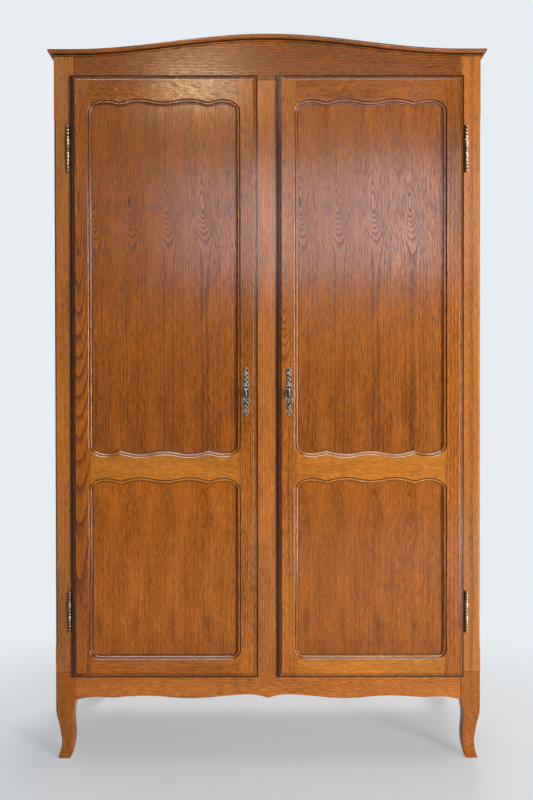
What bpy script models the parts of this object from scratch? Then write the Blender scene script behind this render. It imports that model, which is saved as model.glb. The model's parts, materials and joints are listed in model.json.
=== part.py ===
"""Two-door oak wardrobe in the French provincial style: arched cornice, lipped doors, cabriole legs.

Metres, +Z up, front facing -Y. The origin is on the floor, under the middle of the whole box.
"""
import math

import bmesh
import bpy
from mathutils import Matrix, Vector

# Clearance between pieces that touch, and how far a blank or a cutter stands proud
FIT = 0.0003
MARGIN = 0.005

# Carcass
BODY_WIDTH = 1.170
BODY_DEPTH = 0.590
POST_SIZE = 0.054
BASE_HEIGHT = 0.242
OPENING_HEIGHT = 1.625
SIDE_RAIL_THICKNESS = 0.028
FRONT_BOARD_THICKNESS = 0.022
SIDE_PANEL_THICKNESS = 0.010
BACK_PANEL_THICKNESS = 0.008
GROOVE_DEPTH = 0.008
TENON_LENGTH = 0.015
CHAMFER = 0.005
CHAMFER_FOOT = 0.060
CHAMFER_HEAD = 0.095
CHAMFER_STOP = 0.020

# Crown
FRIEZE_HEIGHT = 0.0645
ARCH_RISE = 0.041
ARCH_STEPS = 24
CORNICE_HEIGHT = 0.018
CORNICE_REACH = 0.014
CORNICE_NOSE = 0.007
CORNICE_QUIRK = 0.0018
CORNICE_EASE = 0.0015
OVOLO_STEPS = 4
ROOF_THICKNESS = 0.010
ROOF_DROP = 0.015

# Base
BLOCK_HEIGHT = 0.073
FLOOR_THICKNESS = 0.018
FLOOR_DROP = 0.012
APRON_TROUGH = 0.074

# Inside
SHELF_THICKNESS = 0.018
SHELF_DROP = 0.250
SHELF_SETBACK = 0.060
BEARER_THICKNESS = 0.020
BEARER_SETBACK = 0.020
BEARER_FOOT = 0.020
HANGING_RAIL_RADIUS = 0.0125
HANGING_RAIL_DROP = 0.055

# Centre stile and doors
CENTRE_STILE_WIDTH = 0.068
CENTRE_STILE_THICKNESS = 0.015
DOOR_LAP = 0.008
DOOR_TOP_LAP = 0.0125
DOOR_BOTTOM_LAP = 0.0145
DOOR_GAP = 0.002
DOOR_THICKNESS = 0.022
LIP_THICKNESS = 0.010
LIP_FLAT = 0.0015
LIP_MOULDING_WIDTH = 0.009
LIP_QUIRK = 0.0012
STILE_FACE = 0.047
SHOULDER_INSET = 0.007
TOP_RAIL_FACE = 0.064
MIDDLE_RAIL_FACE = 0.0515
BOTTOM_RAIL_FACE = 0.050
LOWER_OPENING_HEIGHT = 0.503
RAIL_TENON_LENGTH = 0.030
RAIL_TENON_INSET = 0.012
PANEL_DEPTH = 0.009
PANEL_THICKNESS = 0.006
PANEL_TONGUE = 0.006

# Moulding round the panels, and the scallop that it follows
MOULDING_WIDTH = 0.013
MOULDING_DEPTH = 0.0056
SCALLOP_DIP = 0.0080
SCALLOP_CUSP_DROP = 0.0096
SCALLOP_SHOULDER_DROP = 0.002
SCALLOP_CORNER_HEIGHT = 0.0345
BOTTOM_CORNER_RADIUS = 0.030
CURVE_STEPS = 4

# Hinges
HINGE_AXIS_GAP = 0.007
HINGE_POST_GAP = 0.0005
UPPER_HINGE_DROP = 0.2005
LOWER_HINGE_RISE = 0.180
UPPER_HINGE_LENGTH = 0.130
LOWER_HINGE_LENGTH = 0.116
HINGE_OLIVE_RADIUS = 0.005
HINGE_OLIVE_LENGTH = 0.018
HINGE_NECK_RADIUS = 0.0033
HINGE_NECK_LENGTH = 0.009
HINGE_PIN_RADIUS = 0.0017
HINGE_PIN_LENGTH = 0.022
HINGE_BORE_CLEARANCE = 0.0003
HINGE_TIP_RADIUS = 0.0026
HINGE_BEADS = 4
HINGE_LEAF_THICKNESS = 0.0018
HINGE_LEAF_HEIGHT = 0.016
HINGE_LEAF_REACH = 0.025
HINGE_STEPS = 10

# Locks
LOCK_HEIGHT = 1.008
KEY_FROM_EDGE = 0.0327
KEY_REACH = 0.040
KEY_SHANK_RADIUS = 0.003
KEY_BOW_HEIGHT = 0.030
KEY_BOW_LENGTH = 0.024
KEY_BOW_WIRE = 0.0022
KEY_BIT_REACH = 0.011
KEY_BIT_THICKNESS = 0.0025
KEYHOLE_CLEARANCE = 0.0005
ESCUTCHEON_THICKNESS = 0.0025
CASE_WIDTH = 0.045
CASE_WALL = 0.0015
CASE_MARGIN = 0.006
BOLT_HEIGHT = 0.016
BOLT_THICKNESS = 0.006
BOLT_LENGTH = 0.032
BOLT_CLEARANCE = 0.0006

# Planes that the sizes above set
HALF_WIDTH = BODY_WIDTH / 2
POST_INNER = HALF_WIDTH - POST_SIZE
FRONT_REACH = FIT + LIP_THICKNESS + KEY_REACH
FRONT = FRONT_REACH - (BODY_DEPTH + FRONT_REACH) / 2
BACK = FRONT + BODY_DEPTH
CROWN_JOINT = BASE_HEIGHT + OPENING_HEIGHT
CORNICE_BOTTOM = CROWN_JOINT + FRIEZE_HEIGHT
CROWN_TOP = CORNICE_BOTTOM + CORNICE_HEIGHT
LEG_HEIGHT = BASE_HEIGHT - BLOCK_HEIGHT
FLOOR_TOP = BASE_HEIGHT - FLOOR_DROP
SHELF_TOP = CROWN_JOINT - SHELF_DROP
SHELF_BOTTOM = SHELF_TOP - SHELF_THICKNESS
BACK_PANEL_FRONT = BACK - SIDE_RAIL_THICKNESS / 2 - BACK_PANEL_THICKNESS / 2
DOOR_FACE = FRONT - FIT - LIP_THICKNESS
DOOR_BACK = DOOR_FACE + DOOR_THICKNESS
DOOR_HINGE_EDGE = POST_INNER + DOOR_LAP
DOOR_MEETING_EDGE = CENTRE_STILE_WIDTH / 2 - DOOR_LAP
DOOR_MIDDLE = (DOOR_HINGE_EDGE + DOOR_MEETING_EDGE) / 2
DOOR_BOTTOM = BASE_HEIGHT - DOOR_BOTTOM_LAP
DOOR_TOP = CROWN_JOINT + DOOR_TOP_LAP
OPENING_HALF = (DOOR_HINGE_EDGE - DOOR_MEETING_EDGE) / 2 - STILE_FACE
LOWER_OPENING = (DOOR_BOTTOM + BOTTOM_RAIL_FACE, DOOR_BOTTOM + BOTTOM_RAIL_FACE + LOWER_OPENING_HEIGHT)
UPPER_OPENING = (LOWER_OPENING[1] + MIDDLE_RAIL_FACE, DOOR_TOP - TOP_RAIL_FACE)
HINGE_AXIS = DOOR_HINGE_EDGE + HINGE_AXIS_GAP
HINGE_AXIS_Y = FRONT - HINGE_POST_GAP - HINGE_OLIVE_RADIUS
KEY_AXIS = DOOR_MEETING_EDGE + KEY_FROM_EDGE
CASE_EDGE = DOOR_MEETING_EDGE + DOOR_LAP + DOOR_GAP + FIT
BOLT_FRONT = FRONT + CENTRE_STILE_THICKNESS + BOLT_CLEARANCE
BOLT_BOTTOM = LOCK_HEIGHT + KEY_BIT_REACH + CASE_WALL
CASE_FRONT = DOOR_BACK + FIT
CASE_BACK = BOLT_FRONT + BOLT_THICKNESS + FIT + CASE_WALL

SIDES = {"left": -1, "right": 1}

# Finish: linear colour, roughness, metallic
FINISHES = {
    "lacquered_oak": ((0.33, 0.125, 0.032), 0.35, 0.0),
    "oak_veneer": ((0.29, 0.105, 0.026), 0.35, 0.0),
    "inside_oak": ((0.42, 0.24, 0.11), 0.55, 0.0),
    "aged_brass": ((0.32, 0.24, 0.13), 0.35, 1.0),
    "antique_pewter": ((0.26, 0.23, 0.19), 0.40, 1.0),
    "lock_steel": ((0.32, 0.32, 0.33), 0.40, 1.0),
}

parts = {}


# Scene and finishes

def clear_scene():
    for existing in list(bpy.data.objects):
        bpy.data.objects.remove(existing, do_unlink=True)


def new_collection(name):
    collection = bpy.data.collections.new(name)
    bpy.context.scene.collection.children.link(collection)
    return collection


def make_finish(name):
    colour, roughness, metallic = FINISHES[name]
    material = bpy.data.materials.new(name)
    material.use_nodes = True
    shader = material.node_tree.nodes["Principled BSDF"]
    shader.inputs["Base Color"].default_value = (*colour, 1.0)
    shader.inputs["Roughness"].default_value = roughness
    shader.inputs["Metallic"].default_value = metallic
    return material


# Solids

def place(name, bm, origin, finish):
    """Make an object of world-space geometry, with its origin where asked; no finish means a cutter."""
    bmesh.ops.translate(bm, verts=bm.verts, vec=-Vector(origin))
    bmesh.ops.recalc_face_normals(bm, faces=bm.faces)
    mesh = bpy.data.meshes.new(name)
    bm.to_mesh(mesh)
    bm.free()
    solid = bpy.data.objects.new(name, mesh)
    solid.location = origin
    register(solid, finish)
    return solid


def register(solid, finish):
    if finish is None:
        cutters.objects.link(solid)
        solid.hide_render = True
        solid.display_type = "WIRE"
        return
    wardrobe.objects.link(solid)
    solid.data.materials.append(finishes[finish])
    parts[solid.name] = solid


def middle(spans):
    return [(low + high) / 2 for low, high in spans]


def cuboid(name, spans, finish=None):
    """Box from its (low, high) spans along X, Y and Z."""
    bm = bmesh.new()
    bmesh.ops.create_cube(bm, size=1.0)
    bmesh.ops.scale(bm, verts=bm.verts, vec=[high - low for low, high in spans])
    bmesh.ops.translate(bm, verts=bm.verts, vec=middle(spans))
    return place(name, bm, middle(spans), finish)


def rod(name, start, end, radius, segments, finish=None):
    """Round bar between two points."""
    start, end = Vector(start), Vector(end)
    turn = (end - start).to_track_quat("Z", "Y").to_matrix().to_4x4()
    bm = bmesh.new()
    bmesh.ops.create_cone(bm, cap_ends=True, segments=segments, radius1=radius, radius2=radius,
                          depth=(end - start).length,
                          matrix=Matrix.Translation((start + end) / 2) @ turn)
    return place(name, bm, (start + end) / 2, finish)


def loft(name, rings, origin, finish=None):
    """Closed solid through rings of equal point counts, capped at both ends."""
    bm = bmesh.new()
    rows = [[bm.verts.new(point) for point in ring] for ring in rings]
    for row, following in zip(rows, rows[1:]):
        for i in range(len(row)):
            j = (i + 1) % len(row)
            bm.faces.new((row[i], row[j], following[j], following[i]))
    bm.faces.new(rows[0])
    bm.faces.new(rows[-1])
    return place(name, bm, origin, finish)


def outline_board(name, outline, depth_span, finish):
    """Upright board whose face has the given (x, z) outline."""
    curve = bpy.data.curves.new(name + "_outline", "CURVE")
    curve.dimensions = "2D"
    curve.fill_mode = "BOTH"
    curve.extrude = (depth_span[1] - depth_span[0]) / 2
    spline = curve.splines.new("POLY")
    spline.points.add(len(outline) - 1)
    for point, (x, z) in zip(spline.points, outline):
        point.co = (x, z, 0.0, 1.0)
    spline.use_cyclic_u = True
    guide = bpy.data.objects.new(name + "_outline", curve)
    guide.rotation_euler = (math.pi / 2, 0.0, 0.0)
    guide.location = (0.0, sum(depth_span) / 2, 0.0)
    cutters.objects.link(guide)
    depsgraph = bpy.context.evaluated_depsgraph_get()
    mesh = bpy.data.meshes.new_from_object(guide.evaluated_get(depsgraph))
    bm = bmesh.new()
    bm.from_mesh(mesh)
    bmesh.ops.remove_doubles(bm, verts=bm.verts, dist=1e-5)
    bmesh.ops.recalc_face_normals(bm, faces=bm.faces)
    bm.to_mesh(mesh)
    bm.free()
    mesh.name = name
    solid = bpy.data.objects.new(name, mesh)
    solid.matrix_world = guide.matrix_world.copy()
    bpy.data.objects.remove(guide, do_unlink=True)
    register(solid, finish)
    return solid


def turned(name, profile, location, finish):
    """Turned piece: (radius, height) profile, top to bottom, spun about the vertical through location."""
    mesh = bpy.data.meshes.new(name)
    edges = [(i, i + 1) for i in range(len(profile) - 1)]
    mesh.from_pydata([(radius, 0.0, height) for radius, height in profile], edges, [])
    solid = bpy.data.objects.new(name, mesh)
    solid.location = location
    spin = solid.modifiers.new("turning", "SCREW")
    spin.axis = "Z"
    spin.steps = HINGE_STEPS
    spin.render_steps = HINGE_STEPS
    spin.use_merge_vertices = True
    spin.merge_threshold = 1e-5
    spin.use_smooth_shade = True
    register(solid, finish)
    return solid


def combine(solid, tool, operation):
    modifier = solid.modifiers.new(tool.name, "BOOLEAN")
    modifier.operation = operation
    modifier.solver = "EXACT"
    modifier.object = tool


def cut(solid, tool):
    combine(solid, tool, "DIFFERENCE")


def unite(solid, tool):
    combine(solid, tool, "UNION")


# Spans

def mirrored(side, near, far):
    """Span between two distances from the centre line, on the given side."""
    return tuple(sorted((side * near, side * far)))


def grown(spans, clearance):
    return [(low - clearance, high + clearance) for low, high in spans]


def tongue(spans, axis, end, length):
    """Spans of a stub tenon on one end of a board, with its root as deep inside the board."""
    shoulder = min(high - low for low, high in spans) / 3
    out = [(low + shoulder, high - shoulder) for low, high in spans]
    edge = spans[axis][1] if end > 0 else spans[axis][0]
    out[axis] = (edge - length, edge + length)
    return out


def tenon(board, spans, axis, end, host, length=TENON_LENGTH):
    """Join a board's end into its host with a stub tenon and its mortise."""
    reach = tongue(spans, axis, end, length)
    label = f"{board.name}_into_{host.name}"
    unite(board, cuboid(label + "_tenon", reach))
    cut(host, cuboid(label + "_mortise", grown(reach, FIT)))


def house(name, spans, finish, hosts):
    """Panel or board held in grooves that are cut into its hosts."""
    panel = cuboid(name, spans, finish)
    for host in hosts:
        cut(parts[host], cuboid(f"{name}_groove_in_{host}", grown(spans, FIT)))
    return panel


# Curves

def wave(t):
    return (1 - math.cos(math.pi * t)) / 2


def swell(t):
    return math.sin(math.pi * t / 2)


def fall(t):
    return 1 - math.cos(math.pi * t / 2)


def straight(t):
    return t


def run(start, end, across, along, steps=CURVE_STEPS):
    """Points after start up to end, eased separately across and along."""
    points = []
    for i in range(1, steps + 1):
        t = i / steps
        points.append((start[0] + (end[0] - start[0]) * across(t),
                       start[1] + (end[1] - start[1]) * along(t)))
    return points


def arch(x):
    """Rise of the cornice at a distance from the centre line."""
    if abs(x) >= POST_INNER:
        return 0.0
    return ARCH_RISE * (1 + math.cos(math.pi * x / POST_INNER)) / 2


def arch_stations():
    return [POST_INNER * (2 * i / ARCH_STEPS - 1) for i in range(ARCH_STEPS + 1)]


# Carcass

def post_spans(side, depth_span, height_span):
    return [mirrored(side, POST_INNER, HALF_WIDTH), depth_span, height_span]


FRONT_POST_DEPTH = (FRONT, FRONT + POST_SIZE)
REAR_POST_DEPTH = (BACK - POST_SIZE, BACK)
BETWEEN_POSTS = (FRONT + POST_SIZE + FIT, BACK - POST_SIZE - FIT)
CROWN_SPAN = (CROWN_JOINT, CROWN_TOP)
BASE_SPAN = (LEG_HEIGHT, BASE_HEIGHT)
MIDDLE_SPAN = (BASE_HEIGHT + FIT, CROWN_JOINT - FIT)


def chamfer_cutter(label, side):
    """Wedge that takes the outer front corner off a post and runs out before both ends."""
    reach = CHAMFER + MARGIN
    corner = [(HALF_WIDTH - reach, FRONT - MARGIN), (HALF_WIDTH + MARGIN, FRONT + reach),
              (HALF_WIDTH + MARGIN, FRONT - MARGIN)]
    low = BASE_HEIGHT + CHAMFER_FOOT
    high = CROWN_JOINT - CHAMFER_HEAD
    clear = CHAMFER / 2 + FIT
    stations = [(low, clear), (low + CHAMFER_STOP, 0.0), (high - CHAMFER_STOP, 0.0), (high, clear)]
    rings = [[(side * (x + shift), y - shift, z) for x, y in corner] for z, shift in stations]
    return loft(f"{label}_post_chamfer", rings, (side * HALF_WIDTH, FRONT, BASE_HEIGHT))


def build_posts():
    for label, side in SIDES.items():
        post = cuboid(f"{label}_front_post", post_spans(side, FRONT_POST_DEPTH, MIDDLE_SPAN),
                      "lacquered_oak")
        cut(post, chamfer_cutter(label, side))
        cuboid(f"{label}_rear_post", post_spans(side, REAR_POST_DEPTH, (0.0, CROWN_TOP)),
               "lacquered_oak")


# The free leg, as shares of its height and of the post: height, outer face, inner face
LEG_SHARES = [
    (1.00, 0.000, 1.000),
    (0.86, 0.000, 0.920),
    (0.74, 0.020, 0.858),
    (0.62, 0.092, 0.854),
    (0.50, 0.162, 0.876),
    (0.37, 0.214, 0.894),
    (0.27, 0.243, 0.880),
    (0.19, 0.225, 0.850),
    (0.10, 0.160, 0.795),
    (0.00, 0.080, 0.700),
]


def leg_ring(side, height, outer, inner):
    """Square section of a leg that sweeps alike sideways and forwards."""
    x0, x1 = side * (HALF_WIDTH - outer * POST_SIZE), side * (HALF_WIDTH - inner * POST_SIZE)
    y0, y1 = FRONT + outer * POST_SIZE, FRONT + inner * POST_SIZE
    return [(x0, y0, height), (x1, y0, height), (x1, y1, height), (x0, y1, height)]


def build_legs():
    for label, side in SIDES.items():
        rings = [leg_ring(side, BASE_HEIGHT, 0.0, 1.0)]
        rings += [leg_ring(side, share * LEG_HEIGHT, outer, inner) for share, outer, inner in LEG_SHARES]
        loft(f"{label}_front_leg", rings, (side * (HALF_WIDTH - POST_SIZE / 2), FRONT + POST_SIZE / 2, 0.0),
             "lacquered_oak")


# Lower edge of the apron from its middle to the leg: share of the half span, rise over the trough
APRON_POINT = (0.0, 0.001)
APRON_RUNS = [
    ((0.095, 0.0105), swell),
    ((0.405, 0.0), wave),
    ((0.630, 0.0070), wave),
    ((0.805, 0.0020), fall),
    ((0.900, 0.0040), swell),
    ((1.000, -0.0050), fall),
]


def apron_outline():
    half = POST_INNER - FIT
    trough = BASE_HEIGHT - APRON_TROUGH
    edge = [APRON_POINT]
    for end, ease in APRON_RUNS:
        edge += run(edge[-1], end, straight, ease)
    right = [(half * share, trough + rise) for share, rise in edge]
    left = [(-x, z) for x, z in reversed(right[1:])]
    return left + right + [(half, BASE_HEIGHT), (-half, BASE_HEIGHT)]


def build_apron():
    depth_span = (FRONT, FRONT + FRONT_BOARD_THICKNESS)
    apron = outline_board("apron", apron_outline(), depth_span, "lacquered_oak")
    spans = [(-POST_INNER + FIT, POST_INNER - FIT), depth_span, BASE_SPAN]
    for label, side in SIDES.items():
        tenon(apron, spans, 0, side, parts[f"{label}_front_leg"])


def build_frieze():
    half = POST_INNER - FIT
    outline = [(-half, CROWN_JOINT), (half, CROWN_JOINT)]
    for x in reversed(arch_stations()):
        outline.append((max(-half, min(half, x)), CROWN_TOP + arch(x)))
    depth_span = (FRONT, FRONT + FRONT_BOARD_THICKNESS)
    frieze = outline_board("frieze_board", outline, depth_span, "lacquered_oak")
    for label, side in SIDES.items():
        block = cuboid(f"{label}_frieze_block", post_spans(side, FRONT_POST_DEPTH, CROWN_SPAN),
                       "lacquered_oak")
        tenon(frieze, [(-half, half), depth_span, CROWN_SPAN], 0, side, block)


def join_posts():
    """Stub tenons that locate the posts in the legs below and the blocks above."""
    for label, side in SIDES.items():
        spans = post_spans(side, FRONT_POST_DEPTH, MIDDLE_SPAN)
        post = parts[f"{label}_front_post"]
        tenon(post, spans, 2, -1, parts[f"{label}_front_leg"])
        tenon(post, spans, 2, 1, parts[f"{label}_frieze_block"])


def build_side_rails():
    """Rails of the base and the crown, tenoned between the corners."""
    rear_span = (BACK - SIDE_RAIL_THICKNESS, BACK)
    across = (-POST_INNER + FIT, POST_INNER - FIT)
    for level, height_span, front_host in (("base", BASE_SPAN, "front_leg"),
                                           ("crown", CROWN_SPAN, "frieze_block")):
        for label, side in SIDES.items():
            spans = [mirrored(side, HALF_WIDTH - SIDE_RAIL_THICKNESS, HALF_WIDTH), BETWEEN_POSTS, height_span]
            rail = cuboid(f"{label}_{level}_rail", spans, "lacquered_oak")
            tenon(rail, spans, 1, -1, parts[f"{label}_{front_host}"])
            tenon(rail, spans, 1, 1, parts[f"{label}_rear_post"])
        spans = [across, rear_span, height_span]
        rail = cuboid(f"rear_{level}_rail", spans, "lacquered_oak")
        for label, side in SIDES.items():
            tenon(rail, spans, 0, side, parts[f"{label}_rear_post"])


def build_panels():
    height_span = (BASE_HEIGHT - GROOVE_DEPTH, CROWN_JOINT + GROOVE_DEPTH)
    middle_x = HALF_WIDTH - SIDE_RAIL_THICKNESS / 2
    for label, side in SIDES.items():
        spans = [mirrored(side, middle_x - SIDE_PANEL_THICKNESS / 2, middle_x + SIDE_PANEL_THICKNESS / 2),
                 (FRONT + POST_SIZE - GROOVE_DEPTH, BACK - POST_SIZE + GROOVE_DEPTH), height_span]
        hosts = ("front_post", "rear_post", "base_rail", "crown_rail", "front_leg", "frieze_block")
        house(f"{label}_side_panel", spans, "oak_veneer", [f"{label}_{host}" for host in hosts])
    reach = POST_INNER + GROOVE_DEPTH
    spans = [(-reach, reach), (BACK_PANEL_FRONT, BACK_PANEL_FRONT + BACK_PANEL_THICKNESS), height_span]
    house("back_panel", spans, "inside_oak",
          ["left_rear_post", "right_rear_post", "rear_base_rail", "rear_crown_rail"])


def build_deck(name, height_span, level, front_board, front_corner):
    """Floor or roof: a board in grooves all round, notched for the four corners."""
    half = HALF_WIDTH - SIDE_RAIL_THICKNESS + GROOVE_DEPTH
    depth_span = (FRONT + FRONT_BOARD_THICKNESS - GROOVE_DEPTH, BACK - SIDE_RAIL_THICKNESS + GROOVE_DEPTH)
    deck = house(name, [(-half, half), depth_span, height_span], "inside_oak",
                 [f"left_{level}_rail", f"right_{level}_rail", f"rear_{level}_rail", front_board])
    through = (height_span[0] - MARGIN, height_span[1] + MARGIN)
    for label, side in SIDES.items():
        for corner, corner_depth in ((front_corner, FRONT_POST_DEPTH), ("rear_post", REAR_POST_DEPTH)):
            spans = grown(post_spans(side, corner_depth, through), FIT)
            cut(deck, cuboid(f"{name}_notch_at_{label}_{corner}", spans))


def build_decks():
    build_deck("floor_board", (FLOOR_TOP - FLOOR_THICKNESS, FLOOR_TOP), "base", "apron", "front_leg")
    roof_top = CROWN_TOP - ROOF_DROP
    build_deck("roof_board", (roof_top - ROOF_THICKNESS, roof_top), "crown", "frieze_board", "frieze_block")


def build_centre_stile():
    half = CENTRE_STILE_WIDTH / 2
    spans = [(-half, half), (FRONT, FRONT + CENTRE_STILE_THICKNESS), MIDDLE_SPAN]
    stile = cuboid("centre_stile", spans, "lacquered_oak")
    tenon(stile, spans, 2, -1, parts["apron"])
    tenon(stile, spans, 2, 1, parts["frieze_board"])


# Cornice

def cornice_profile():
    """(projection, height) loop: an ovolo under a square nose with an eased top edge."""
    loop = []
    for i in range(OVOLO_STEPS + 1):
        angle = math.pi / 2 * i / OVOLO_STEPS
        loop.append(((CORNICE_REACH - CORNICE_QUIRK) * math.sin(angle),
                     (CORNICE_HEIGHT - CORNICE_NOSE) * (1 - math.cos(angle))))
    loop += [(CORNICE_REACH, CORNICE_HEIGHT - CORNICE_NOSE),
             (CORNICE_REACH, CORNICE_HEIGHT - CORNICE_EASE),
             (CORNICE_REACH - CORNICE_EASE, CORNICE_HEIGHT), (0.0, CORNICE_HEIGHT)]
    return loop


def build_cornice():
    profile = cornice_profile()

    def front_ring(x, mitre):
        return [(x + mitre * (FIT + reach), FRONT - FIT - reach, CORNICE_BOTTOM + arch(x) + height)
                for reach, height in profile]

    rings = [front_ring(-HALF_WIDTH, -1)]
    rings += [front_ring(x, 0) for x in arch_stations()]
    rings.append(front_ring(HALF_WIDTH, 1))
    loft("front_cornice", rings, (0.0, FRONT, CORNICE_BOTTOM), "lacquered_oak")
    for label, side in SIDES.items():
        rings = [[(side * (HALF_WIDTH + FIT + reach), FRONT - FIT - reach + 2 * FIT, CORNICE_BOTTOM + height)
                  for reach, height in profile],
                 [(side * (HALF_WIDTH + FIT + reach), BACK, CORNICE_BOTTOM + height)
                  for reach, height in profile]]
        loft(f"{label}_cornice", rings, (side * HALF_WIDTH, FRONT, CORNICE_BOTTOM), "lacquered_oak")


# Inside

def build_inside():
    rail_z = SHELF_BOTTOM - HANGING_RAIL_DROP
    rail_y = (FRONT + BACK) / 2
    rail_half = POST_INNER - 2 * FIT
    foot = rail_z - HANGING_RAIL_RADIUS - BEARER_FOOT
    for label, side in SIDES.items():
        spans = [mirrored(side, POST_INNER - FIT - BEARER_THICKNESS, POST_INNER - FIT),
                 (FRONT + BEARER_SETBACK, BACK_PANEL_FRONT - FIT), (foot, SHELF_BOTTOM - FIT)]
        bearer = cuboid(f"{label}_shelf_bearer", spans, "inside_oak")
        socket = rod(f"{label}_rail_socket", (0.0, rail_y, rail_z), (side * HALF_WIDTH, rail_y, rail_z),
                     HANGING_RAIL_RADIUS + FIT, 24)
        cut(bearer, socket)
    rod("hanging_rail", (-rail_half, rail_y, rail_z), (rail_half, rail_y, rail_z),
        HANGING_RAIL_RADIUS, 24, "aged_brass")
    shelf_half = POST_INNER - FIT
    cuboid("hat_shelf", [(-shelf_half, shelf_half), (FRONT + SHELF_SETBACK, BACK_PANEL_FRONT - FIT),
                         (SHELF_BOTTOM, SHELF_TOP)], "inside_oak")


# Doors

def scallop():
    """Half of a scalloped edge, from its middle: (distance, drop below the crest)."""
    crest = (0.322 * OPENING_HALF, 0.0)
    cusp = (0.578 * OPENING_HALF, SCALLOP_CUSP_DROP)
    shoulder = (0.776 * OPENING_HALF, SCALLOP_SHOULDER_DROP)
    corner = (OPENING_HALF, SCALLOP_SHOULDER_DROP + SCALLOP_CORNER_HEIGHT)
    edge = [(0.0, SCALLOP_DIP)]
    edge += run(edge[-1], crest, straight, wave)
    edge += run(crest, cusp, straight, fall)
    edge += run(cusp, shoulder, straight, swell)
    edge += run(shoulder, corner, swell, fall)
    return edge


def plain_edge():
    """Half of a straight edge with a round corner, in the same form."""
    corner = (OPENING_HALF - BOTTOM_CORNER_RADIUS, 0.0)
    return [(0.0, 0.0), corner] + run(corner, (OPENING_HALF, BOTTOM_CORNER_RADIUS), swell, fall)


def corner_depth(edge):
    """How far below its crest an edge crosses the line of the rail's shoulder."""
    line = OPENING_HALF - SHOULDER_INSET
    for (x0, drop0), (x1, drop1) in zip(edge, edge[1:]):
        if x0 <= line <= x1:
            return drop0 + (drop1 - drop0) * (line - x0) / (x1 - x0)
    return edge[-1][1]


def opening_outline(bottom, top, lower_edge, upper_edge):
    """Closed outline of an opening, clockwise from the middle of its upper edge."""
    right = [(x, top - drop) for x, drop in upper_edge]
    right += [(x, bottom + drop) for x, drop in reversed(lower_edge)]
    left = [(-x, z) for x, z in reversed(right[1:-1])]
    return right + left


def inset_outline(outline, distance):
    """Clockwise outline moved inwards by a distance, with mitred corners."""
    moved = []
    count = len(outline)
    for i, (x, z) in enumerate(outline):
        before = (Vector(outline[i]) - Vector(outline[i - 1])).normalized()
        after = (Vector(outline[(i + 1) % count]) - Vector(outline[i])).normalized()
        normal_before = Vector((before.y, -before.x))
        normal_after = Vector((after.y, -after.x))
        normal = (normal_before + normal_after).normalized()
        step = normal * (distance / normal.dot(normal_after))
        moved.append((x + step.x, z + step.y))
    return moved


# Section of the panel moulding, as shares of its width and depth: round edge, quirk, bead, fillet
MOULDING_SECTION = [
    (0.0, 0.06),
    (0.20, 0.46),
    (0.26, 0.53),
    (0.34, 0.48),
    (0.62, 0.50),
    (0.78, 0.92),
    (1.0, 1.0),
]


def opening_cutter(name, side, outline):
    """Solid that cuts an opening with its moulding through the frame of a door."""
    stages = [(0.0, -MARGIN)]
    stages += [(share * MOULDING_WIDTH, depth * MOULDING_DEPTH) for share, depth in MOULDING_SECTION]
    stages.append((MOULDING_WIDTH, DOOR_THICKNESS + MARGIN))
    centre = side * DOOR_MIDDLE
    rings = [[(centre + x, DOOR_FACE + depth, z) for x, z in inset_outline(outline, inset)]
             for inset, depth in stages]
    return loft(name, rings, (centre, DOOR_FACE, outline[0][1]))


def door_envelope(name, side):
    """Whole door as one block: moulded lip in front, rebated body behind."""
    lip = [(LIP_MOULDING_WIDTH, 0.0)]
    for i in range(OVOLO_STEPS + 1):
        angle = math.pi / 2 * i / OVOLO_STEPS
        depth = LIP_QUIRK + (LIP_THICKNESS - LIP_FLAT - LIP_QUIRK) * (1 - math.cos(angle))
        lip.append((LIP_MOULDING_WIDTH * (1 - math.sin(angle)), depth))
    lip.append((0.0, LIP_THICKNESS))
    rebate = [lap + DOOR_GAP for lap in (DOOR_LAP, DOOR_BOTTOM_LAP, DOOR_TOP_LAP)]
    stages = [((inset, inset, inset), depth) for inset, depth in lip]
    stages += [(rebate, LIP_THICKNESS), (rebate, DOOR_THICKNESS)]
    rings = []
    for (side_inset, bottom_inset, top_inset), depth in stages:
        x0, x1 = mirrored(side, DOOR_MEETING_EDGE + side_inset, DOOR_HINGE_EDGE - side_inset)
        z0, z1 = DOOR_BOTTOM + bottom_inset, DOOR_TOP - top_inset
        y = DOOR_FACE + depth
        rings.append([(x0, y, z0), (x1, y, z0), (x1, y, z1), (x0, y, z1)])
    return loft(name, rings, (side * DOOR_MIDDLE, DOOR_FACE, DOOR_BOTTOM))


def door_rails():
    """Height spans of the rail blanks, with the horns that run into the corners of the openings."""
    horn = corner_depth(scallop()) + SCALLOP_SHOULDER_DROP
    foot_horn = corner_depth(plain_edge()) + SCALLOP_SHOULDER_DROP
    return {
        "top": (UPPER_OPENING[1] - horn, DOOR_TOP),
        "middle": (LOWER_OPENING[1] - horn, UPPER_OPENING[0] + horn),
        "bottom": (DOOR_BOTTOM, LOWER_OPENING[0] + foot_horn),
    }


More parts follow.
